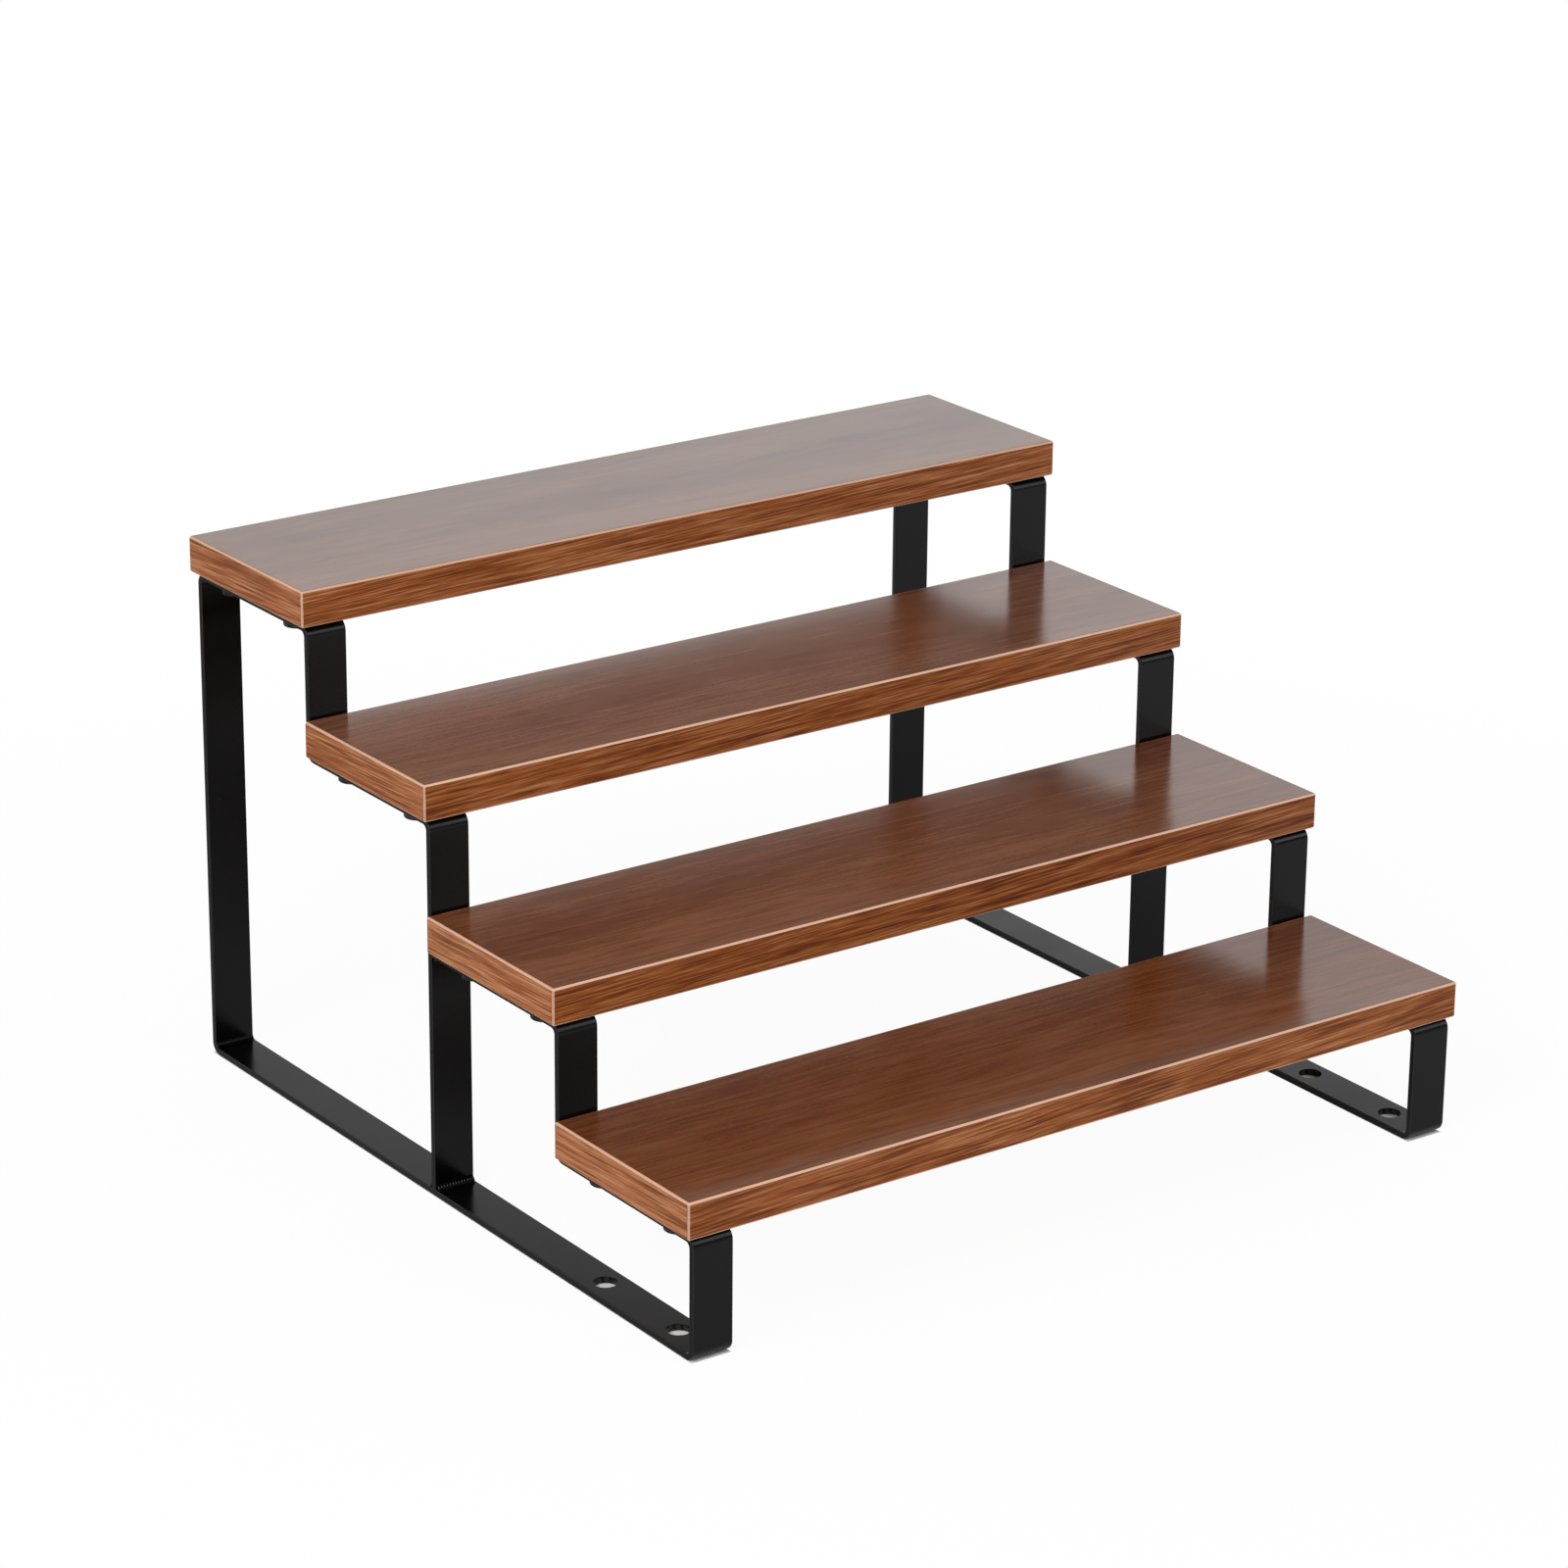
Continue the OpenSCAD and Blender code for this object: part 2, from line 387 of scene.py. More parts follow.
def marks_group() -> Tree:
    """Builds the shared group for a surface's fine marks: dust specks and a soft unevenness.

    Returns:
        The group. Its Vector is in metres.
    """
    graph, given, result = new_group(
        "fine_marks", "Shader", {"Vector": "Vector", **as_inputs(FineMarks())}, "Specks", "Smudge", "Peel",
    )
    place = given["Vector"]
    scale = graph.math("DIVIDE", SPECK_IN_CELL, given["Speck Size"])
    cells = graph.add("ShaderNodeTexVoronoi", {"Vector": place, "Scale": scale}).outputs
    lot = graph.out("ShaderNodeTexWhiteNoise", {"Vector": cells["Position"]})
    chosen = graph.math("LESS_THAN", lot, given["Speck Share"])
    near = graph.remap(cells["Distance"], *SPECK_RANGE, 1.0, 0.0)
    graph.feed(result["Specks"], graph.math("MULTIPLY", chosen, near))
    graph.feed(result["Smudge"], graph.remap(graph.noise(place, SMUDGE_SCALE, 3.0), *SMUDGE_RANGE))
    graph.feed(result["Peel"], graph.noise(place, graph.math("DIVIDE", 1.0, given["Peel Size"]), 2.0))
    return graph.tree


def edge_group() -> Tree:
    """Builds the shared group that breaks up the mask of an edge, as handling and tools do.

    Returns:
        The group. Edge is 1 on the edge and 0 elsewhere.
    """
    graph, given, result = new_group(
        "worn_edge", "Shader", {"Vector": "Vector", "Edge": 0.0, **as_inputs(Wear())}, "Mask",
    )
    patches = graph.noise(given["Vector"], graph.math("DIVIDE", 1.0, given["Patch Size"]), 4.0, 0.65)
    bare = graph.math("SUBTRACT", 1.0, given["Cover"])
    kept = graph.math("SUBTRACT", patches, graph.math("MULTIPLY", bare, BARE_LOSS))
    graph.feed(result["Mask"], graph.math("MULTIPLY", given["Edge"], graph.remap(kept, *PATCH_RANGE)))
    return graph.tree


class Groups:
    """The shader groups that more than one finish shares, each built once."""

    def __init__(self) -> None:
        """Builds every group."""
        self.walnut = walnut_group()
        self.marks = marks_group()
        self.edge = edge_group()


@dataclass(frozen=True)
class Finish:
    """What every finish has: its name, and how its surface reflects light.

    Attributes:
        name: The material's name.
        specular: Level of the mirror-like reflection, where 0.5 is plain plastic.
        ior: Refraction of the surface, which sets how fast it turns shiny at a low angle.
        roughness: Roughness where the surface is clean.
        smudge: How much rougher it is where it is smudged.
        relief: Depth of its pores, chips or orange peel.
        bump: Strength of that relief, from 0 to 1.
        marks: Its fine marks.
        wear: How its edges are worn.
    """

    name: str
    specular: float = 0.5
    ior: float = 1.5
    roughness: float = 0.2
    smudge: float = 0.06
    relief: float = 0.02 * MM
    bump: float = 0.35
    marks: FineMarks = FineMarks()
    wear: Wear = Wear()

    def material(self, groups: Groups) -> Material:
        """Builds the material.

        Args:
            groups: The shared shader groups.

        Returns:
            The finished material.
        """
        material = bpy.data.materials.new(self.name)
        material.use_nodes = True
        graph = Graph(material.node_tree)
        place = graph.add("ShaderNodeTexCoord").outputs["Object"]
        marks = graph.group(groups.marks, place, self.marks)
        values = {"Specular IOR Level": self.specular, "IOR": self.ior}
        values.update(self.surface(graph, groups, place, marks))
        shader = material.node_tree.nodes["Principled BSDF"].inputs
        for name, value in values.items():
            graph.feed(shader[name], value)
        return material

    def surface(self, graph: Graph, groups: Groups, place: Socket, marks: Any) -> dict[str, Any]:
        """Builds what makes this finish differ from others.

        Args:
            graph: The material's graph.
            groups: The shared shader groups.
            place: The Object coordinates.
            marks: The outputs of the group for fine marks.

        Returns:
            For each input of the shader that the finish sets, its socket or plain value.
        """
        raise NotImplementedError

    @staticmethod
    def smudged(graph: Graph, marks: Any, colour: Colour, shade: float) -> Socket:
        """A colour that is multiplied by a shade where the surface is smudged."""
        return graph.ramp(marks["Smudge"], (colour, tuple(shade * part for part in colour)))

    def rough(self, graph: Graph, uneven: Socket, low: float = 0.0, high: float = 1.0) -> Socket:
        """The roughness, which follows an uneven value between two limits."""
        return graph.remap(uneven, low, high, self.roughness, self.roughness + self.smudge)

    def normal(self, graph: Graph, height: Socket) -> Socket:
        """The normals that a height gives the surface."""
        inputs = {"Height": height, "Strength": self.bump, "Distance": self.relief}
        return graph.out("ShaderNodeBump", inputs)


@dataclass(frozen=True)
class WalnutFinish(Finish):
    """Printed walnut under a clear film, on the boards' sheets and their edge bands.

    Attributes:
        grain: Which way the grain runs.
        slant: How far the grain rises from the horizontal, in degrees.
        figure: Sizes of the wood's figure.
        colours: Colours of the wood, from its dark figure to its light figure.
        line_colour: What a dark line multiplies the wood's colour by.
        line_depth: How strong the dark lines are, from 0 to 1.
        pore_depth: How strong the pores are.
        front_light: Painted light: how much lighter the figure is made along a board's front than towards
            its rear, as a share of its range.
        front_zone: Where that painted light starts and is whole, as shares of the boards' pitch.
        front_waver: How far the figure moves the zone of that painted light.
        haze: How far a painted sheen, standing in for the reflection along a board's front edge, greys the
            wood.
        haze_zone: Where that starts and is whole.
        haze_colour: Colour of that painted sheen.
        coat: Weight of the clear film's own reflection.
        scraped_colour: Colour of the bare edge that the trimming tool leaves.
        scraped_rough: How much rougher the bare edge is.
        dust_colour: Colour of the dust specks.
        dust_depth: How far a speck covers the wood.
        peel_share: Share of the orange peel in the relief.
    """

    grain: Grain = Grain.ALONG_X
    slant: float = 0.0
    figure: WalnutFigure = WalnutFigure()
    colours: tuple[Colour, ...] = ()
    line_colour: Colour = (0.60, 0.46, 0.34)
    line_depth: float = 0.25
    pore_depth: float = 0.3
    front_light: float = 0.0
    front_zone: tuple[float, float] = (0.55, 0.30)
    front_waver: float = 0.1
    haze: float = 0.0
    haze_zone: tuple[float, float] = (0.17, 0.04)
    haze_colour: Colour = (0.20, 0.20, 0.20)
    coat: float = 0.0
    scraped_colour: Colour = (0.69, 0.445, 0.325)
    scraped_rough: float = 0.3
    dust_colour: Colour = (0.60, 0.52, 0.45)
    dust_depth: float = 0.25
    peel_share: float = 0.6

    @property
    def turn(self) -> Vector:
        """How the slanted grain is laid along X.

        Returns:
            The turn about X, Y and Z.
        """
        slant = math.radians(self.slant)
        about_z = math.radians(self.grain.value)
        along_x = self.grain is Grain.ALONG_X
        return Vector((0.0, slant, about_z)) if along_x else Vector((slant, 0.0, about_z))

    def surface(self, graph: Graph, groups: Groups, place: Socket, marks: Any) -> dict[str, Any]:
        """Builds the wood, its painted light and painted sheen along each board's front, its scraped edges
        and its dust.

        Args:
            graph: The material's graph.
            groups: The shared shader groups.
            place: The Object coordinates.
            marks: The outputs of the group for fine marks.

        Returns:
            Sockets and plain values by the inputs of the shader.
        """
        turned = graph.out("ShaderNodeMapping", {"Vector": place, "Rotation": self.turn})
        wood = graph.group(groups.walnut, turned, self.figure)
        scraped = graph.group(groups.edge, place, self.wear, Edge=graph.attribute(SCRAPED))["Mask"]
        from_front = graph.math("SUBTRACT", graph.parts(place)["Y"], BOARDS_FRONT)
        depth = graph.math("FRACT", graph.math("DIVIDE", from_front, BOARDS_PITCH))
        # Painted light: the wood is made lighter towards each board's front than towards its rear.
        wavering = graph.math("ADD", depth, graph.math("MULTIPLY", wood["Tone"], self.front_waver))
        light = graph.remap(wavering, *self.front_zone, 0.0, self.front_light)
        tone = graph.math("ADD", wood["Tone"], graph.attribute(TONE))
        colour = graph.ramp(graph.math("ADD", tone, light, clamp=True), self.colours)
        dark = graph.mix(1.0, colour, self.line_colour, "MULTIPLY")
        for share, over in (
            (graph.math("MULTIPLY", wood["Lines"], self.line_depth), dark),
            (graph.math("MULTIPLY", wood["Pores"], self.pore_depth), dark),
            # Painted sheen: greys each top along its front edge, standing in for the reflection there.
            (graph.remap(depth, *self.haze_zone, 0.0, self.haze), self.haze_colour),
            (graph.math("MULTIPLY", marks["Specks"], self.dust_depth), self.dust_colour),
            (scraped, self.scraped_colour),
        ):
            colour = graph.mix(share, colour, over)
        film = self.rough(graph, marks["Smudge"])
        bare = graph.math("MULTIPLY", scraped, self.scraped_rough)
        height = graph.math("ADD", wood["Height"], graph.math("MULTIPLY", marks["Peel"], self.peel_share))
        return {
            "Base Color": colour,
            "Roughness": graph.math("ADD", film, bare, clamp=True),
            "Normal": self.normal(graph, height),
            "Coat Weight": self.coat,
            "Coat Roughness": self.roughness,
            "Coat IOR": self.ior,
        }


@dataclass(frozen=True)
class PowderCoatFinish(Finish):
    """Black powder coat on the bent bars and their welds.

    Attributes:
        colour: Colour of the coat.
        smudged_shade: What a smudge multiplies the colour by.
        edge_colour: Colour where the coat pulls thin over an edge, which is also a painted highlight along
            the bar's rounded edges.
        dust_colour: Colour of the dust specks.
        dust_depth: How far a speck covers the coat.
    """

    colour: Colour = (0.0008, 0.0008, 0.0008)
    smudged_shade: float = 1.5
    edge_colour: Colour = (0.020, 0.020, 0.020)
    dust_colour: Colour = (0.2, 0.2, 0.2)
    dust_depth: float = 0.12

    def surface(self, graph: Graph, groups: Groups, place: Socket, marks: Any) -> dict[str, Any]:
        """Builds the coat, its thin edges with their painted highlight, and its dust.

        Args:
            graph: The material's graph.
            groups: The shared shader groups.
            place: The Object coordinates.
            marks: The outputs of the group for fine marks.

        Returns:
            Sockets and plain values by the inputs of the shader.
        """
        # The rims are lighter where the coat pulls thin, and by a painted highlight along the rounded edges.
        worn = graph.group(groups.edge, place, self.wear, Edge=graph.attribute(RIM))["Mask"]
        tint = graph.mix(worn, self.smudged(graph, marks, self.colour, self.smudged_shade), self.edge_colour)
        dust = graph.math("MULTIPLY", marks["Specks"], self.dust_depth)
        return {
            "Base Color": graph.mix(dust, tint, self.dust_colour),
            "Roughness": self.rough(graph, marks["Smudge"]),
            "Normal": self.normal(graph, marks["Peel"]),
        }


@dataclass(frozen=True)
class PlatedSteelFinish(Finish):
    """Dark plated steel on the screws and washers.

    Attributes:
        colour: Colour of the plating.
        smudged_shade: What a smudge multiplies the colour by.
        worn_colour: Colour where the plating is rubbed through.
        worn_depth: How far the rubbed patches show, from 0 to 1.
        speck_rough: How much rougher a speck is.
    """

    colour: Colour = (0.050, 0.050, 0.052)
    smudged_shade: float = 0.7
    worn_colour: Colour = (0.17, 0.16, 0.15)
    worn_depth: float = 0.4
    speck_rough: float = 0.25

    def surface(self, graph: Graph, groups: Groups, place: Socket, marks: Any) -> dict[str, Any]:
        """Builds the plating and its rubbed patches.

        Args:
            graph: The material's graph.
            groups: The shared shader groups.
            place: The Object coordinates.
            marks: The outputs of the group for fine marks.

        Returns:
            Sockets and plain values by the inputs of the shader.
        """
        patches = graph.group(groups.edge, place, self.wear, Edge=1.0)["Mask"]
        worn = graph.math("MULTIPLY", patches, self.worn_depth)
        tint = self.smudged(graph, marks, self.colour, self.smudged_shade)
        specks = graph.math("MULTIPLY", marks["Specks"], self.speck_rough)
        return {
            "Base Color": graph.mix(worn, tint, self.worn_colour),
            "Roughness": graph.math("ADD", self.roughness, specks, clamp=True),
            "Normal": self.normal(graph, marks["Peel"]),
            "Metallic": 1.0,
        }


@dataclass(frozen=True)
class ParticleBoardFinish(Finish):
    """Pressed wood chips of the boards' cores.

    Attributes:
        colours: Colours of the chips, from dark to light.
        chip_size: Size of a chip.
        flattening: How much the chips are pressed flat, along X, Y and Z.
        gap_depth: How dark the gaps between chips are, from 0 to 1.
    """

    colours: tuple[Colour, ...] = ((0.27, 0.17, 0.09), (0.46, 0.33, 0.20), (0.62, 0.48, 0.32))
    chip_size: float = 2.2 * MM
    flattening: tuple[float, float, float] = (0.6, 1.0, 2.0)
    gap_depth: float = 0.7

    def surface(self, graph: Graph, groups: Groups, place: Socket, marks: Any) -> dict[str, Any]:
        """Builds the chips and the gaps between them.

        Args:
            graph: The material's graph.
            groups: The shared shader groups, which this finish does not use.
            place: The Object coordinates.
            marks: The outputs of the group for fine marks.

        Returns:
            Sockets and plain values by the inputs of the shader.
        """
        flat = graph.vector_math("MULTIPLY", place, self.flattening)
        chips = graph.add("ShaderNodeTexVoronoi", {"Vector": flat, "Scale": 1.0 / self.chip_size}).outputs
        chip = graph.ramp(graph.out("ShaderNodeSeparateColor", {"Color": chips["Color"]}), self.colours)
        gaps = graph.math("MULTIPLY", marks["Specks"], self.gap_depth)
        return {
            "Base Color": graph.mix(gaps, chip, self.colours[0]),
            "Roughness": self.rough(graph, marks["Peel"], 0.2, 0.8),
            "Normal": self.normal(graph, graph.math("ADD", chips["Distance"], marks["Peel"])),
        }


TOP_WALNUT = WalnutFinish(
    "walnut_laminate",
    ior=1.26,
    coat=1.0,
    colours=((0.078, 0.014, 0.0005), (0.110, 0.029, 0.0060), (0.136, 0.042, 0.0130), (0.167, 0.058, 0.0235)),
    line_depth=0.4,
    pore_depth=0.12,
    # Painted light: the tops are made lighter along each board's front.
    front_light=0.22,
    roughness=0.16,
    relief=0.012 * MM,
    dust_depth=0.12,
)
# The backing's colours are lighter than the tops': partly its own print and partly painted light, standing
# in for the floor's light on the undersides that the tops reflect.
BACKING_WALNUT_WITH_PAINTED_BOUNCE = replace(
    TOP_WALNUT,
    name="walnut_backing",
    ior=1.3,
    coat=0.0,
    colours=((0.20, 0.055, 0.013), (0.27, 0.080, 0.021), (0.31, 0.100, 0.030), (0.36, 0.125, 0.045)),
    roughness=0.2,
    front_light=0.0,
)
LONG_BAND_WALNUT = WalnutFinish(
    "walnut_edge_band",
    specular=0.2,
    slant=2.0,
    colours=((0.108, 0.018, 0.0010), (0.243, 0.060, 0.0050), (0.345, 0.116, 0.0330), (0.480, 0.210, 0.0950)),
    figure=WalnutFigure(
        figure_length=90 * MM,
        figure_width=4.0 * MM,
        streak_length=32 * MM,
        streak_width=0.7 * MM,
        streak_share=0.70,
        line_length=56 * MM,
        line_width=1.1 * MM,
        waviness=1.4 * MM,
    ),
    line_colour=(0.50, 0.34, 0.18),
    line_depth=0.9,
    pore_depth=0.5,
    roughness=0.36,
)
SHORT_BAND_WALNUT = replace(
    LONG_BAND_WALNUT, name="walnut_edge_band_crosswise", grain=Grain.ALONG_Y, specular=0.32,
)
POWDER_COAT = PowderCoatFinish(
    "black_powder_coat",
    specular=0.19,
    roughness=0.16,
    smudge=0.08,
    bump=0.25,
    marks=FineMarks(0.6 * MM, 0.03, 0.9 * MM),
    wear=Wear(9 * MM, 0.75),
)
PLATED_STEEL = PlatedSteelFinish(
    "screw_steel",
    roughness=0.30,
    relief=0.01 * MM,
    bump=0.2,
    marks=FineMarks(0.3 * MM, 0.10, 0.5 * MM),
    wear=Wear(2.5 * MM, 0.42),
)
CHIPBOARD = ParticleBoardFinish(
    "board_core",
    specular=0.2,
    roughness=0.75,
    smudge=0.20,
    relief=0.2 * MM,
    bump=0.6,
    marks=FineMarks(1.2 * MM, 0.2, 0.6 * MM),
)


@dataclass(frozen=True)
class BoardLook:
    """How one board's prints differ from the mean, with the painted reflection, painted sheen and painted
    light laid on them.

    Attributes:
        top_shade: What the colours of its top are multiplied by.
        top_grey: Painted reflection: how much grey is added to its top beside them, standing in for the
            sheen that its top reflects.
        top_contrast: How far the figure of its top stands out, where 1 is the mean.
        top_haze: How far the painted sheen greys its top along the front edge.
        long_tone: How much lighter its front and rear bands are, as a share of their range.
        short_tone: How much lighter its left and right bands are, partly tone that differs from band to band
            and partly painted light that makes these end bands lighter than the front ones.
        long_trim: How far the trimming bares the level edges of its front and rear bands.
        short_trim: How far it bares those of its left and right bands.
    """

    top_shade: float
    top_grey: float
    top_contrast: float
    top_haze: float
    long_tone: float
    short_tone: float
    long_trim: float = 1.0
    short_trim: float = 0.76

    def top_finish(self, tier: int) -> WalnutFinish:
        """The finish of the board's top.

        Args:
            tier: The board's number.

        Returns:
            The mean finish of the tops, with this board's colours, painted reflection and painted sheen.
        """
        count = len(TOP_WALNUT.colours)
        mean = [sum(parts) / count for parts in zip(*TOP_WALNUT.colours)]
        # top_grey adds a painted reflection to every colour of the top.
        colours = tuple(
            tuple(
                max(self.top_shade * (middle + self.top_contrast * (part - middle)) + self.top_grey, 0.0)
                for part, middle in zip(colour, mean)
            )
            for colour in TOP_WALNUT.colours
        )
        return replace(TOP_WALNUT, name=f"{TOP_WALNUT.name}_{tier}", colours=colours, haze=self.top_haze)


# In each look, top_grey is a painted reflection, top_haze a painted sheen, and short_tone partly painted
# light.
BOARD_LOOKS = {
    1: BoardLook(1.27, 0.001, 0.95, 0.13, -0.03, 0.25),
    2: BoardLook(1.20, 0.001, 1.15, 0.08, -0.10, 0.24),
    3: BoardLook(1.22, 0.018, 1.2, 0.08, -0.06, 0.08),
    4: BoardLook(1.06, 0.014, 1.45, 0.0, 0.01, 0.15, long_trim=0.80),
}


class Palette:
    """Every finish of the stand as a material, built once."""

    def __init__(self) -> None:
        """Builds the shared groups, and then each material."""
        groups = Groups()
        self.tops = {tier: look.top_finish(tier).material(groups) for tier, look in BOARD_LOOKS.items()}
        self.backing = BACKING_WALNUT_WITH_PAINTED_BOUNCE.material(groups)
        self.long_band = LONG_BAND_WALNUT.material(groups)
        self.short_band = SHORT_BAND_WALNUT.material(groups)
        self.powder_coat = POWDER_COAT.material(groups)
        self.steel = PLATED_STEEL.material(groups)
        self.core = CHIPBOARD.material(groups)


def new_object(name: str, data: Any) -> Object:
    """Puts a mesh, a lamp or a camera into the scene.

    Args:
        name: The object's name.
        data: What the object holds.

    Returns:
        The object, at the origin.
    """
    piece = bpy.data.objects.new(name, data)
    bpy.context.scene.collection.objects.link(piece)
    return piece


def new_mesh(
    name: str, points: Sequence[Any], edges: Sequence[Any] = (), faces: Sequence[Any] = ()
) -> bpy.types.Mesh:
    """Makes a mesh.

    Args:
        name: The mesh's name.
        points: Where its points are.
        edges: The numbers of the points that each loose edge joins.
        faces: The numbers of the points round each face.

    Returns:
        The mesh.
    """
    mesh = bpy.data.meshes.new(name)
    mesh.from_pydata(points, edges, faces)
    return mesh


def from_bmesh(name: str, shape: bmesh.types.BMesh) -> Object:
    """Turns a mesh in the making into an object.

    Args:
        name: The name of the object and its mesh.
        shape: The mesh in the making, which is freed.

    Returns:
        The new object.
    """
    mesh = bpy.data.meshes.new(name)
    shape.to_mesh(mesh)
    shape.free()
    return new_object(name, mesh)


def set_aside(piece: Object) -> None:
    """Removes a helper from the scene.

    Args:
        piece: The helper object, which goes with its mesh.
    """
    mesh = piece.data
    bpy.data.objects.remove(piece)
    bpy.data.meshes.remove(mesh)


def baked(source: Object, name: str) -> Object:
    """Turns an object with modifiers into a plain mesh object.

    Args:
        source: The object to evaluate, which is removed.
        name: The name of the new piece.

    Returns:
        The new object, at the origin.
    """
    bpy.context.view_layer.update()
    depsgraph = bpy.context.evaluated_depsgraph_get()
    mesh = bpy.data.meshes.new_from_object(source.evaluated_get(depsgraph), depsgraph=depsgraph)
    mesh.name = name
    set_aside(source)
    return new_object(name, mesh)


def run_nodes(source: Object, tree: Tree, inputs: dict[str, Any]) -> None:
    """Adds a geometry tree to an object.

    Args:
        source: The object.
        tree: The tree.
        inputs: Values by the names of inputs. A name that the tree lacks is passed over.
    """
    modifier = source.modifiers.new(tree.name, "NODES")
    modifier.node_group = tree
    for item in tree.interface.items_tree:
        if item.item_type == "SOCKET" and item.in_out == "INPUT" and item.name in inputs:
            modifier[item.identifier] = inputs[item.name]


def flatten_faces(piece: Object) -> None:
    """Adds normals that keep large faces flat between their rounded edges."""
    piece.modifiers.new("flat_faces", "WEIGHTED_NORMAL").keep_sharp = True


def soften(piece: Object, width: float, least_angle: float = 25.0) -> None:
    """Adds a small rounding to every edge that turns sharply.

    Args:
        piece: The object.
        width: Width of the rounding.
        least_angle: The least turn of an edge that is rounded, in degrees.
    """
    bevel = piece.modifiers.new("rounding", "BEVEL")
    bevel.width = width
    bevel.segments = 2
    bevel.limit_method = "ANGLE"
    bevel.angle_limit = math.radians(least_angle)
    flatten_faces(piece)


def smooth_by_angle(piece: Object, degrees: float = 35.0) -> None:
    """Shades a piece smooth, with its edges sharp where they turn by more than an angle."""
    piece.data.shade_smooth()
    piece.data.set_sharp_from_angle(angle=math.radians(degrees))


def lathe(name: str, profile: Sequence[tuple[float, float]], ring: bool = False) -> Object:
    """Turns a profile about the Z axis into a closed solid.

    Args:
        name: The object's name.
        profile: Points of radius and height, which start and end on the axis, or go
            round the section of a ring.
        ring: Whether the profile closes on itself away from the axis.

    Returns:
        The new object.
    """
    shape = bmesh.new()
    verts = [shape.verts.new((radius, 0.0, height)) for radius, height in profile]
    edges = [shape.edges.new(pair) for pair in zip(verts, verts[1:])]
    if ring:
        edges.append(shape.edges.new((verts[-1], verts[0])))
    bmesh.ops.spin(
        shape,
        geom=verts + edges,
        axis=(0, 0, 1),
        cent=(0, 0, 0),
        angle=math.tau,
        steps=ROUND_SIDES,
        use_merge=True,
    )
    bmesh.ops.remove_doubles(shape, verts=shape.verts, dist=MERGE_REACH)
    bmesh.ops.recalc_face_normals(shape, faces=shape.faces)
    return from_bmesh(name, shape)


def dress(piece: Object, material: Material, nodes: Iterable[str]) -> None:
    """Gives a new piece its finish, its body and the CAD nodes that it stands for.

    Args:
        piece: The finished object.
        material: Its material.
        nodes: The CAD nodes that it stands for.
    """
    piece.data.materials.clear()
    piece.data.materials.append(material)
    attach(piece, BODY)
    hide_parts(*nodes)
    log.info("%s stands for %s, %d faces", piece.name, ", ".join(nodes), len(piece.data.polygons))


def dress_node(node: str, material: Material) -> None:
    """Gives a CAD node that stays its finish."""
    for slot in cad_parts[node].material_slots:
        slot.material = material
    log.info("%s stays as it is, in %s", node, material.name)


def bar_middle(side: Side) -> float:
    """The X of the middle of a frame's bar."""
    low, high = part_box(f"{side.name.lower()}_bar")
    return (low.x + high.x) / 2


def screw_places(tier: int) -> list[Vector]:
    """Where the four screws of a board pass the underside of the bars.

    Args:
        tier: The board's number.

    Returns:
        The middle of the upper face of each washer.
    """
    low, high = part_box(f"tier_{tier}_washers")
    radius = high.x - bar_middle(Side.RIGHT)
    rows = (low.y + radius, high.y - radius)
    return [Vector((bar_middle(side), y, high.z)) for side in Side for y in rows]


@dataclass
class EdgeBand:
    """One band along an edge of a board, with a trimmed bevel on its outer edges.

    Attributes:
        node: The CAD node that it stands for.
        covered: The faces that other pieces cover, which have no bevel.
        tone: How much lighter than the mean this band is, as a share of the wood's range; on the left and
            right bands it is partly painted light.
        level_scrape: How far the trimming bares its level edges, from 0 to 1.
        upright_scrape: How far the trimming bares its upright edges.
        bevel: Width of the trimmed bevel.
        rounding: Width of the small rounding on every edge.
    """

    node: str
    covered: tuple[Facing, ...]
    tone: float
    level_scrape: float
    upright_scrape: float = 0.6
    bevel: float = 0.8 * MM
    rounding: float = 0.1 * MM

    def build(self) -> Object:
        """Builds the band in its place.

        Returns:
            The band, whose attributes hold its tone and mark the trimmed faces.
        """
        low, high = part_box(self.node)
        shape = bmesh.new()
        bmesh.ops.create_cube(shape, size=1.0, matrix=Matrix.Translation((0.5, 0.5, 0.5)))
        for vert in shape.verts:
            vert.co = low + vert.co * (high - low)
        shape.normal_update()
        hidden = [Vector(facing.value) for facing in self.covered]
        shown = {face for face in shape.faces if not any(face.normal.dot(way) > 0.9 for way in hidden)}
        outer = [edge for edge in shape.edges if shown.issuperset(edge.link_faces)]
        trimmed = shape.faces.layers.float.new(SCRAPED)
        tone = shape.faces.layers.float.new(TONE)
        cut = bmesh.ops.bevel(shape, geom=outer, offset=self.bevel, segments=1, profile=0.5, affect="EDGES")
        for face in cut["faces"]:
            face.normal_update()
            face[trimmed] = self.level_scrape if abs(face.normal.z) > 0.3 else self.upright_scrape
        for face in shape.faces:
            face[tone] = self.tone
        rough = from_bmesh(f"{self.node}_block", shape)
        soften(rough, self.rounding)
        return baked(rough, f"{self.node}_trimmed")


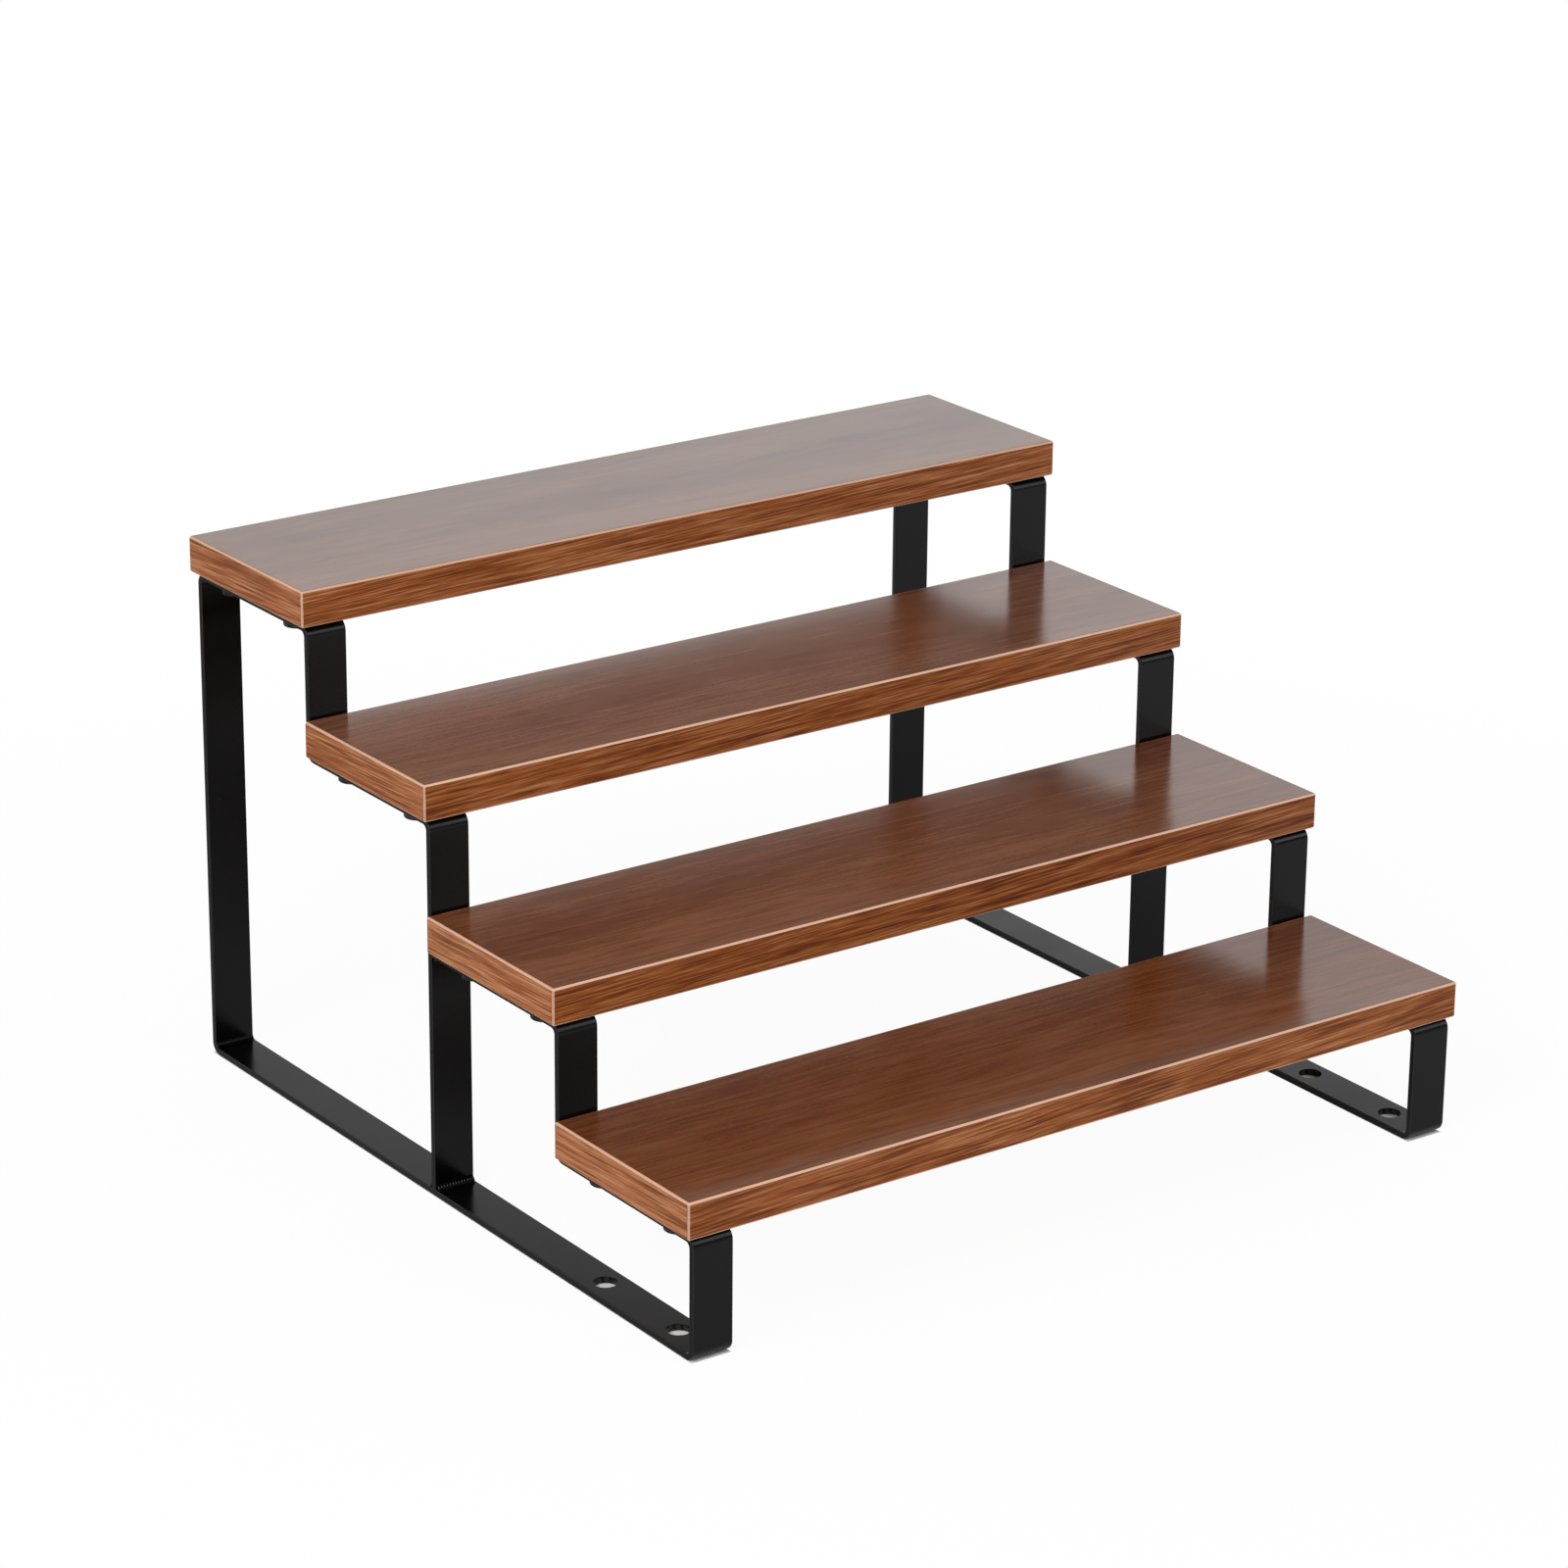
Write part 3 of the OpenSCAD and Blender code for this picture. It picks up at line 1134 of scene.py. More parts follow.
def screw_tree() -> Tree:
    """Builds the geometry tree that threads a turned screw and cuts its cross recess.

    Returns:
        The tree. Its input mesh is the blank, which points up from its head at z = 0.
    """
    graph, given, result = new_group("threaded_screw", "Geometry", {
        "Blank": "Geometry",
        "Head Height": 3.7 * MM,
        "Recess Length": 5 * MM,
        "Recess Width": 1.2 * MM,
        "Recess Depth": 2 * MM,
        "Thread Start": 4 * MM,
        "Thread Length": 10 * MM,
        "Thread Pitch": 2 * MM,
        "Root Radius": 1.8 * MM,
        "Crest Radius": 2.5 * MM,
        "Finish": "Material",
    }, "Screw")
    root = given["Root Radius"]
    spiral = graph.out("GeometryNodeCurveSpiral", {
        "Resolution": 20,
        "Rotations": graph.math("DIVIDE", given["Thread Length"], given["Thread Pitch"]),
        "Start Radius": root,
        "End Radius": root,
        "Height": given["Thread Length"],
    })
    upright = graph.out("GeometryNodeSetCurveNormal", {"Curve": spiral}, mode="Z_UP")
    crest_size = graph.math("SUBTRACT", given["Crest Radius"], root)
    crest = graph.out("GeometryNodeCurvePrimitiveCircle", {"Resolution": 4, "Radius": crest_size})
    way = graph.add("GeometryNodeSplineParameter").outputs["Factor"]
    run_in = graph.math("MULTIPLY", way, THREAD_RISE)
    run_out = graph.math("MULTIPLY", graph.math("SUBTRACT", 1.0, way), THREAD_FADE)
    depth = graph.math("MINIMUM", graph.math("MINIMUM", run_in, run_out), 1.0)
    thread = graph.out("GeometryNodeCurveToMesh", {
        "Curve": upright,
        "Profile Curve": crest,
        "Scale": graph.math("MAXIMUM", depth, LEAST_THREAD),
        "Fill Caps": True,
    })
    start = graph.vector(z=given["Thread Start"])
    lifted = graph.out("GeometryNodeTransform", {"Geometry": thread, "Translation": start})
    threaded = graph.add("GeometryNodeMeshBoolean", operation="UNION", solver="EXACT")
    for part in (given["Blank"], lifted):
        graph.feed(threaded.inputs["Mesh"], part)

    at_top = graph.vector(z=graph.math("MULTIPLY", given["Head Height"], -1.0))
    width = given["Recess Width"]
    across = graph.math("MULTIPLY", given["Recess Depth"], 2.0)
    slot = graph.out("GeometryNodeMeshCube", {"Size": graph.vector(given["Recess Length"], width, across)})
    pit = graph.out("GeometryNodeMeshCone", {
        "Vertices": 16,
        "Radius Top": graph.math("MULTIPLY", width, PIT_TOP),
        "Radius Bottom": width,
        "Depth": graph.math("MULTIPLY", given["Recess Depth"], PIT_DEPTH),
    })
    blank = {"Mesh 1": threaded.outputs[0]}
    cut = graph.add("GeometryNodeMeshBoolean", blank, operation="DIFFERENCE", solver="EXACT")
    for cutter, turn in ((slot, 0.0), (slot, QUARTER), (pit, 0.0)):
        placed = graph.out("GeometryNodeTransform", {
            "Geometry": cutter, "Translation": at_top, "Rotation": (0.0, 0.0, turn),
        })
        graph.feed(cut.inputs["Mesh 2"], placed)
    return graph.close(cut.outputs[0], given["Finish"], result["Screw"])


def fastener_tree() -> Tree:
    """Builds the geometry tree that sets a fastener on each of its points, each turned by chance.

    Returns:
        The tree. Its input mesh has one loose point for each fastener.
    """
    graph, given, result = new_group("fasteners_on_points", "Geometry", {
        "Places": "Geometry",
        "Fastener": "Object",
        "Greatest Turn": math.tau,
        "Seed": 0,
        "Finish": "Material",
    }, "Fasteners")
    model = graph.add("GeometryNodeObjectInfo", {"Object": given["Fastener"]}, transform_space="ORIGINAL")
    limits = {2: 0.0, 3: given["Greatest Turn"], "Seed": given["Seed"]}
    chance = graph.add("FunctionNodeRandomValue", limits, data_type="FLOAT").outputs[1]
    placed = graph.out("GeometryNodeInstanceOnPoints", {
        "Points": given["Places"],
        "Instance": model.outputs["Geometry"],
        "Rotation": graph.out("FunctionNodeEulerToRotation", {0: graph.vector(z=chance)}),
    })
    return graph.close(placed, given["Finish"], result["Fasteners"])


def weld_tree() -> Tree:
    """Builds the geometry tree that lays a rippled fillet weld along each of its edges.

    Returns:
        The tree. Each point of its input mesh holds the way that the weld faces.
    """
    graph, given, result = new_group("fillet_weld", "Geometry", {
        "Corners": "Geometry",
        "Leg": 2.5 * MM,
        "Ripple Pitch": 1.5 * MM,
        "Ripple Depth": 0.12,
        "Finish": "Material",
    }, "Weld")
    pitch = given["Ripple Pitch"]
    line = graph.out("GeometryNodeMeshToCurve", {"Mesh": given["Corners"]})
    steps = {"Curve": line, "Length": graph.math("DIVIDE", pitch, RIPPLE_STEPS)}
    stepped = graph.out("GeometryNodeResampleCurve", steps, mode="LENGTH")
    way = graph.out("GeometryNodeInputNamedAttribute", {"Name": BEAD_WAY}, data_type="FLOAT_VECTOR")
    faced = graph.out("GeometryNodeSetCurveNormal", {"Curve": stepped, "Normal": way}, mode="FREE")
    fillet = graph.out("GeometryNodeCurveArc", {
        "Resolution": 9,
        "Radius": given["Leg"],
        "Start Angle": -QUARTER / 2,
        "Sweep Angle": QUARTER,
        "Connect Center": True,
    }, mode="RADIUS")
    reached = graph.add("GeometryNodeSplineParameter").outputs["Length"]
    ripple = graph.math("FRACT", graph.math("DIVIDE", reached, pitch))
    hollow = graph.math("POWER", graph.math("ABSOLUTE", graph.math("SUBTRACT", ripple, 0.5)), 2.0)
    loss = graph.math("MULTIPLY", graph.math("MULTIPLY", hollow, 4.0), given["Ripple Depth"])
    swept = graph.out("GeometryNodeCurveToMesh", {
        "Curve": faced,
        "Profile Curve": fillet,
        "Scale": graph.math("SUBTRACT", 1.0, loss),
        "Fill Caps": True,
    })
    return graph.close(swept, given["Finish"], result["Weld"])


def bent_bar_tree() -> Tree:
    """Builds the geometry tree that bends flat bar along a middle line and drills it.

    Returns:
        The tree. Its input mesh holds the middle line, and a loose point for each hole.
    """
    graph, given, result = new_group("bent_flat_bar", "Geometry", {
        "Line": "Geometry",
        "Bar Width": 20 * MM,
        "Bar Thickness": 3 * MM,
        "Edge Radius": 0.4 * MM,
        "Bend Radius": 4 * MM,
        "Bend Steps": 10,
        "Hole Cutter": "Object",
        "Finish": "Material",
    }, "Bar")
    width = given["Bar Width"]
    thickness = given["Bar Thickness"]
    hole = {"Name": HOLE_DIAMETER}
    diameter = graph.add("GeometryNodeInputNamedAttribute", hole, data_type="FLOAT").outputs["Attribute"]
    is_hole = graph.out(
        "FunctionNodeCompare", {0: diameter, 1: 0.0}, data_type="FLOAT", operation="GREATER_THAN"
    )
    split = {"Geometry": given["Line"], "Selection": is_hole}
    parts = graph.add("GeometryNodeSeparateGeometry", split, domain="POINT").outputs
    line = graph.out("GeometryNodeMeshToCurve", {"Mesh": parts["Inverted"]})
    level = graph.out("GeometryNodeSetCurveNormal", {"Curve": line, "Normal": (1.0, 0.0, 0.0)}, mode="FREE")
    bends = {"Curve": level, "Count": given["Bend Steps"], "Radius": given["Bend Radius"]}
    bent = graph.out("GeometryNodeFilletCurve", bends, mode="POLY")
    sides = {"Width": width, "Height": thickness}
    outline = graph.out("GeometryNodeCurvePrimitiveQuadrilateral", sides, mode="RECTANGLE")
    corners = {"Curve": outline, "Count": 4, "Radius": given["Edge Radius"]}
    section = graph.out("GeometryNodeFilletCurve", corners, mode="POLY")
    place = graph.parts(graph.out("GeometryNodeInputPosition"))

    def beyond_flat(value: Socket, size: Socket) -> Socket:
        """Whether a point lies past the flat of a face, on a rounded edge.

        Args:
            value: The point's place across the face.
            size: Size of the bar in that direction.

        Returns:
            1 past the flat and 0 on it.
        """
        flat = graph.math("SUBTRACT", graph.math("MULTIPLY", size, 0.5), given["Edge Radius"])
        over = graph.math("SUBTRACT", graph.math("ABSOLUTE", value), flat)
        return graph.math("GREATER_THAN", over, PAST_FLAT)

    on_rim = graph.math("MULTIPLY", beyond_flat(place["X"], width), beyond_flat(place["Y"], thickness))
    rim = {"Geometry": section, "Name": RIM, "Value": on_rim}
    marked = graph.out("GeometryNodeStoreNamedAttribute", rim, data_type="FLOAT", domain="POINT")
    sweep = {"Curve": bent, "Profile Curve": marked, "Fill Caps": True}
    swept = graph.out("GeometryNodeCurveToMesh", sweep)
    drill = {"Object": given["Hole Cutter"]}
    cutter = graph.add("GeometryNodeObjectInfo", drill, transform_space="ORIGINAL")
    cutters = graph.out("GeometryNodeInstanceOnPoints", {
        "Points": parts["Selection"],
        "Instance": cutter.outputs["Geometry"],
        "Scale": graph.vector(diameter, diameter, 1.0),
    })
    solids = {"Mesh 1": swept, "Mesh 2": graph.out("GeometryNodeRealizeInstances", {"Geometry": cutters})}
    drilled = graph.out("GeometryNodeMeshBoolean", solids, operation="DIFFERENCE", solver="EXACT")
    smooth = graph.out("GeometryNodeSetShadeSmooth", {"Geometry": drilled, "Shade Smooth": True})
    return graph.close(smooth, given["Finish"], result["Bar"])


class Trees:
    """The geometry trees of the stand, each built once."""

    def __init__(self) -> None:
        """Builds every tree."""
        self.screw = screw_tree()
        self.fasteners = fastener_tree()
        self.weld = weld_tree()
        self.bar = bent_bar_tree()


@dataclass(frozen=True)
class PanHeadScrew:
    """A pan-head screw for board, which points up, with the underside of its head at z = 0.

    Attributes:
        head_diameter: Diameter of the head.
        head_height: Height of the head.
        length: Length under the head.
        neck: Length of the plain neck, which passes the washer and the bar.
        shank_diameter: Diameter of the neck and of the thread's crest.
        root_diameter: Diameter of the thread's root.
        taper: Length over which the neck narrows to the root.
        tip: Length of the point, as a share of the shank's diameter.
        corner: Radius of the head's round shoulder.
        corner_steps: How many faces that shoulder has.
        crown: How much the head's top swells.
        edge: Chamfer at the foot of the head.
        recess_length: Length of a slot of the cross recess.
        recess_width: Width of a slot of the cross recess.
        recess_depth: Depth of the cross recess.
        thread_pitch: Distance between two crests of the thread.
    """

    head_diameter: float
    head_height: float
    length: float
    neck: float
    shank_diameter: float = 5 * MM
    root_diameter: float = 3.6 * MM
    taper: float = 0.6 * MM
    tip: float = 0.7
    corner: float = 0.6 * MM
    corner_steps: int = 6
    crown: float = 0.3 * MM
    edge: float = 0.2 * MM
    recess_length: float = 5 * MM
    recess_width: float = 1.2 * MM
    recess_depth: float = 2 * MM
    thread_pitch: float = 2 * MM

    def head_profile(self) -> list[tuple[float, float]]:
        """The outline of the head.

        Returns:
            Points of radius and height, from the middle of its top to its underside.
        """
        radius = self.head_diameter / 2
        shoulder = radius - self.corner
        level = self.crown + self.corner - self.head_height
        turns = [QUARTER * step / self.corner_steps for step in range(self.corner_steps + 1)]
        arc = [
            (shoulder + self.corner * math.sin(turn), level - self.corner * math.cos(turn))
            for turn in turns
        ]
        crown = [(0.0, -self.head_height), (shoulder / 2, self.crown / 4 - self.head_height)]
        return [*crown, *arc, (radius, -self.edge), (radius - self.edge, 0.0)]

    def build(self, tree: Tree, material: Material) -> Object:
        """Builds the screw's model about the Z axis.

        Args:
            tree: The geometry tree that threads a blank and cuts its recess.
            material: The screw's material.

        Returns:
            The model, to be set on each screw's place.
        """
        shank = self.shank_diameter / 2
        root = self.root_diameter / 2
        tip = self.shank_diameter * self.tip
        start = self.neck + self.taper
        blank = lathe("screw_blank", [
            *self.head_profile(),
            (shank, 0.0),
            (shank, self.neck),
            (root, start),
            (root, self.length - tip),
            (0.0, self.length),
        ])
        run_nodes(blank, tree, {
            **as_inputs(self),
            "Thread Start": start,
            "Thread Length": self.length - self.neck - self.taper - tip / 2,
            "Root Radius": root,
            "Crest Radius": shank,
            "Finish": material,
        })
        return baked(blank, "screw_model")


@dataclass(frozen=True)
class PlainWasher:
    """A plain washer, with its upper face at z = 0.

    Attributes:
        diameter: Outer diameter.
        thickness: Thickness.
        hole: Diameter of its hole.
        edge: Chamfer of its outer edges.
    """

    diameter: float
    thickness: float
    hole: float = 5.3 * MM
    edge: float = 0.2 * MM

    def build(self) -> Object:
        """Builds the washer's model about the Z axis.

        Returns:
            The model, to be set on each washer's place.
        """
        outer = self.diameter / 2
        inner = self.hole / 2
        section = [
            (inner, 0.0),
            (inner, -self.thickness),
            (outer - self.edge, -self.thickness),
            (outer, self.edge - self.thickness),
            (outer, -self.edge),
            (outer - self.edge, 0.0),
        ]
        return lathe("washer_model", section, ring=True)


@dataclass
class Tier:
    """One board of the stand with its sheets, its edge bands and its fasteners.

    Attributes:
        number: The tier's number, counted from the lowest one at the front.
        palette: The stand's materials.
        trees: The stand's geometry trees.
    """

    number: int
    palette: Palette
    trees: Trees

    def node(self, piece: str) -> str:
        """The name of one of the tier's pieces."""
        return f"tier_{self.number}_{piece}"

    def build(self) -> None:
        """Dresses the core and the sheets, and builds the bands and the fasteners."""
        dress_node(self.node("core"), self.palette.core)
        dress_node(self.node("top_laminate"), self.palette.tops[self.number])
        dress_node(self.node("bottom_laminate"), self.palette.backing)
        self.add_bands()
        self.add_fasteners()

    def add_bands(self) -> None:
        """Builds the two long bands, and the two short ones between them."""
        look = BOARD_LOOKS[self.number]
        long = (look.long_tone, look.long_trim, self.palette.long_band)
        # The end bands' tone is partly painted light, which makes them lighter than the front and rear
        # bands.
        short = (look.short_tone, look.short_trim, self.palette.short_band)
        for piece, covered, (tone, trim, material) in (
            ("front_band", (Facing.REAR,), long),
            ("rear_band", (Facing.FRONT,), long),
            ("left_band", (Facing.RIGHT, Facing.FRONT, Facing.REAR), short),
            ("right_band", (Facing.LEFT, Facing.FRONT, Facing.REAR), short),
        ):
            band = EdgeBand(self.node(piece), covered, tone, level_scrape=trim).build()
            dress(band, material, [self.node(piece)])

    def add_fasteners(self) -> None:
        """Builds the washers, and then the screws below them."""
        places = screw_places(self.number)
        washer_low, washer_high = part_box(self.node("washers"))
        screw_low, screw_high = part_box(self.node("screws"))
        middle = bar_middle(Side.RIGHT)
        thickness = washer_high.z - washer_low.z
        washer = PlainWasher(diameter=2 * (washer_high.x - middle), thickness=thickness)
        screw = PanHeadScrew(
            head_diameter=2 * (screw_high.x - middle),
            head_height=washer_low.z - screw_low.z,
            length=screw_high.z - washer_low.z,
            neck=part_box(self.node("bottom_laminate"))[0].z - washer_low.z,
        )
        self.set_on(places, washer.build(), "washers", "plain_washers")
        below = [place - Vector((0.0, 0.0, thickness)) for place in places]
        self.set_on(below, screw.build(self.trees.screw, self.palette.steel), "screws", "pan_head_screws")

    def set_on(self, places: list[Vector], model: Object, node: str, name: str) -> None:
        """Sets a fastener's model on each place, as one piece.

        Args:
            places: Where the model's origin goes.
            model: The fastener's model, which is removed.
            node: The last words of the CAD node that the piece stands for.
            name: The last words of the new piece's name.
        """
        steel = self.palette.steel
        points = new_object(self.node(f"{name}_points"), new_mesh(name, places))
        run_nodes(points, self.trees.fasteners, {"Fastener": model, "Seed": self.number, "Finish": steel})
        piece = baked(points, self.node(name))
        set_aside(model)
        smooth_by_angle(piece)
        dress(piece, steel, [self.node(node)])


@dataclass
class SideFrame:
    """One frame of the stand: a length of flat bar, bent nine times and welded twice.

    Attributes:
        side: Which frame it is.
        palette: The stand's materials.
        trees: The stand's geometry trees.
        bar_width: Width of the flat bar.
        bar_thickness: Thickness of the flat bar.
        inside_radius: Radius inside each bend.
        edge_radius: Rounding of the bar's long edges.
        screw_hole: Diameter of the holes for the screws.
        access_hole: Diameter of the screwdriver holes in the floor rail.
        hole_flare: How much wider a hole is at its rim, as a share of its diameter.
        flare_depth: Depth of that flare.
    """

    side: Side
    palette: Palette
    trees: Trees
    bar_width: float = 20 * MM
    bar_thickness: float = 3 * MM
    inside_radius: float = 2.5 * MM
    edge_radius: float = 0.4 * MM
    screw_hole: float = 5.5 * MM
    access_hole: float = 10.4 * MM
    hole_flare: float = 0.05
    flare_depth: float = 0.3 * MM

    def node(self, piece: str) -> str:
        """The name of one of the frame's pieces."""
        return f"{self.side.name.lower()}_{piece}"

    def middle_line(self) -> list[Vector]:
        """The bar's middle line, from its end on the post to the post's foot.

        Returns:
            The corners of the line, as they are before the bends round them.
        """
        low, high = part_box(self.node("bar"))
        half = self.bar_thickness / 2
        fronts = [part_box(f"tier_{tier}_core")[0].y for tier in TIERS]
        pitch = fronts[1] - fronts[0]
        drops = [low.y + half + pitch * index for index in range(len(TIERS))]
        runs = [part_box(f"tier_{tier}_bottom_laminate")[0].z - half for tier in TIERS]
        rail = low.z + half
        rear = high.y - half
        corners = [
            (drops[2] - half, runs[1]),
            (drops[1], runs[1]),
            (drops[1], runs[0]),
            (drops[0], runs[0]),
            (drops[0], rail),
            (rear, rail),
            (rear, runs[3]),
            (drops[3], runs[3]),
            (drops[3], runs[2]),
            (drops[2], runs[2]),
            (drops[2], low.z + self.bar_thickness),
        ]
        return [Vector((bar_middle(self.side), y, z)) for y, z in corners]

    def holes(self) -> list[tuple[Vector, float]]:
        """The holes of the bar.

        Returns:
            The middle and the diameter of each hole.
        """
        half = self.bar_thickness / 2
        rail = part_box(self.node("bar"))[0].z + half
        found = []
        for tier in TIERS:
            places = [place for place in screw_places(tier) if place.x * self.side.value > 0]
            found += [(place + Vector((0.0, 0.0, half)), self.screw_hole) for place in places]
            if tier == TIERS[0]:
                found += [(Vector((place.x, place.y, rail)), self.access_hole) for place in places]
        return found

    def blank(self) -> Object:
        """What the bar's geometry tree starts from.

        Returns:
            The middle line as edges, with a loose point for each hole.
        """
        line = self.middle_line()
        holes = self.holes()
        edges = [(index, index + 1) for index in range(len(line) - 1)]
        mesh = new_mesh(self.node("line"), [*line, *(place for place, _ in holes)], edges)
        diameters = mesh.attributes.new(HOLE_DIAMETER, "FLOAT", "POINT")
        diameters.data.foreach_set("value", [*(0.0 for _ in line), *(size for _, size in holes)])
        return new_object(mesh.name, mesh)

    def hole_cutter(self) -> Object:
        """What drills every hole, once it is widened to the hole's diameter.

        Returns:
            A drill of diameter 1, flared where it meets the bar's two faces.
        """
        face = self.bar_thickness / 2
        wide = 0.5 * (1 + 2 * self.hole_flare)
        reach = face + self.flare_depth
        shoulder = face - self.flare_depth
        lower = [(0.0, -reach), (wide, -reach), (0.5, -shoulder)]
        upper = [(radius, -height) for radius, height in reversed(lower)]
        return lathe("hole_cutter", lower + upper)

    def build(self) -> None:
        """Builds the bar, the weld under tier 2's run and the welds at the post's foot."""
        cutter = self.hole_cutter()
        blank = self.blank()
        run_nodes(blank, self.trees.bar, {
            **as_inputs(self),
            "Bend Radius": self.inside_radius + self.bar_thickness / 2,
            "Hole Cutter": cutter,
            "Finish": self.palette.powder_coat,
        })
        flatten_faces(blank)
        bar = baked(blank, self.node("bent_bar"))
        set_aside(cutter)
        dress(bar, self.palette.powder_coat, [self.node("bar")])
        low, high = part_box(self.node("step_weld"))
        self.add_weld("step_weld", high.z - low.z, [(high.y, high.z, Vector((0.0, -1.0, -1.0)))])
        low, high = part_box(self.node("foot_weld"))
        leg = high.z - low.z
        self.add_weld("foot_weld", leg, [
            (low.y + leg, low.z, Vector((0.0, -1.0, 1.0))),
            (high.y - leg, low.z, Vector((0.0, 1.0, 1.0))),
        ])

    def add_weld(self, piece: str, leg: float, corners: list[tuple[float, float, Vector]]) -> None:
        """Builds and dresses the beads of one weld.

        Args:
            piece: The last words of the CAD node that they stand for.
            leg: Leg of the fillet.
            corners: For each bead, the Y and Z of its corner and the way that it faces.
        """
        low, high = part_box(self.node(piece))
        ends = [Vector((x, y, z)) for y, z, _ in corners for x in (low.x, high.x)]
        ways = [part for _, _, way in corners for _ in range(2) for part in way.normalized()]
        mesh = new_mesh(piece, ends, [(2 * index, 2 * index + 1) for index in range(len(corners))])
        mesh.attributes.new(BEAD_WAY, "FLOAT_VECTOR", "POINT").data.foreach_set("vector", ways)
        line = new_object(self.node(f"{piece}_line"), mesh)
        run_nodes(line, self.trees.weld, {"Leg": leg, "Finish": self.palette.powder_coat})
        beads = baked(line, self.node(f"{piece}_bead"))
        smooth_by_angle(beads)
        dress(beads, self.palette.powder_coat, [self.node(piece)])


@dataclass(frozen=True)
class Lamp:
    """A square soft lamp.

    Attributes:
        name: The lamp's name.
        place: Where it stands.
        side: Side of its square.
        power: Its power in watts.
    """

    name: str
    place: tuple[float, float, float]
    side: float
    power: float

    def add(self, aim: Vector) -> None:
        """Adds the lamp to the scene.

        Args:
            aim: The point that it faces.
        """
        data = bpy.data.lights.new(self.name, "AREA")
        data.shape = "SQUARE"
        data.size = self.side
        data.energy = self.power
        lamp = new_object(self.name, data)
        lamp.location = self.place
        lamp.rotation_mode = "QUATERNION"
        lamp.rotation_quaternion = (aim - lamp.location).to_track_quat("-Z", "Y")


@dataclass
class Studio:
    """Floor, backdrop, lamps and camera.

    Attributes:
        camera_place: Where the camera stands.
        camera_aim: The point in the middle of the picture.
        camera_roll: Turn of the camera about its own view, in degrees.
        camera_reach: How far the camera sees.
        lens: Focal length of the camera, in millimetres on its sensor.
        sensor: Width of the camera's sensor, in millimetres.
        lamps: The lamps.
        ambient: Strength of the backdrop's light on the object.
        panel_top: Heights of a mirrored direction at which the backdrop fades and ends.
        above_panel: Strength of the backdrop above them, in reflections.
        front_edge: Y of a mirrored direction at which the dimmer front starts to fade and ends.
        before_object: What the backdrop's reflections are multiplied by in that front.
        floor_side: Side of the square floor.
        floor_drop: Gap between the object's underside and the floor.
        floor_white: Colour of the floor, as a share of white.
        shade_reach: Distances from the object at which its shade starts to fade and ends.
        seen_glow: Share of the floor's whiteness near the object that no shade takes away.
        mirrored_glow: The same share in the floor's reflections.
        left_floor: Strength of the floor on the object's left, in reflections.
    """

    camera_place: Vector = Vector((-1.2998, -1.7813, 0.9610))
    camera_aim: Vector = Vector((-0.0205, 0.0, 0.1553))
    camera_roll: float = 0.5
    camera_reach: float = 50.0
    lens: float = 119.24
    sensor: float = 36.0
    lamps: tuple[Lamp, ...] = (
        Lamp("key", (-1.7, -0.75, 1.5), 1.1, 34.0),
        Lamp("fill", (1.2, -1.6, 1.08), 0.85, 8.5),
    )
    ambient: float = 0.45
    panel_top: tuple[float, float] = (0.400, 0.447)
    above_panel: float = 0.25
    front_edge: tuple[float, float] = (-0.2, 0.1)
    before_object: float = 0.28
    floor_side: float = 14.0
    floor_drop: float = 0.2 * MM
    floor_white: float = 0.86
    shade_reach: tuple[float, float] = (0.25, 0.75)
    seen_glow: float = 0.95
    mirrored_glow: float = 0.2
    left_floor: float = 0.42

    def build(self) -> None:
        """Builds the camera first, and then what it looks at beside the object."""
        self.add_camera()
        self.add_backdrop()
        self.add_floor()
        for lamp in self.lamps:
            lamp.add(self.camera_aim)

    def add_camera(self) -> None:
        """Sets the scene's camera at the picture's viewing angle."""
        data = bpy.data.cameras.new("camera")
        data.lens = self.lens
        data.sensor_width = self.sensor
        data.clip_end = self.camera_reach
        camera = new_object("camera", data)
        view = (self.camera_aim - self.camera_place).to_track_quat("-Z", "Y")
        roll = Matrix.Rotation(math.radians(self.camera_roll), 4, "Z")
        camera.matrix_world = Matrix.Translation(self.camera_place) @ view.to_matrix().to_4x4() @ roll
        bpy.context.scene.camera = camera

    @staticmethod
    def mirrored(graph: Graph) -> Socket:
        """1 for glossy and transmission rays, which show the studio in the object."""
        path = graph.add("ShaderNodeLightPath").outputs
        return graph.math("MAXIMUM", path["Is Glossy Ray"], path["Is Transmission Ray"])

    @staticmethod
    def seen(graph: Graph) -> Socket:
        """1 for camera rays, which show the studio itself."""
        return graph.add("ShaderNodeLightPath").outputs["Is Camera Ray"]

    def add_backdrop(self) -> None:
        """A world that looks white and lights the object at a plain level."""
        world = bpy.data.worlds.new("backdrop")
        world.use_nodes = True
        bpy.context.scene.world = world
        graph = Graph(world.node_tree)
        background = world.node_tree.nodes["Background"].inputs
        background["Color"].default_value = WHITE
        way = graph.parts(graph.add("ShaderNodeTexCoord").outputs["Object"])
        panel = graph.remap(way["Z"], *self.panel_top, 1.0, self.above_panel)
        front = graph.remap(way["Y"], *self.front_edge, self.before_object, 1.0)
        panel = graph.math("MULTIPLY", panel, front)
        unseen = graph.math("SUBTRACT", 1.0, graph.math("MAXIMUM", self.seen(graph), self.mirrored(graph)))
        glossy = graph.math("MULTIPLY", self.mirrored(graph), panel)
        light = graph.math("ADD", graph.math("MULTIPLY", unseen, self.ambient), glossy)
        graph.feed(background["Strength"], graph.math("ADD", light, self.seen(graph)))

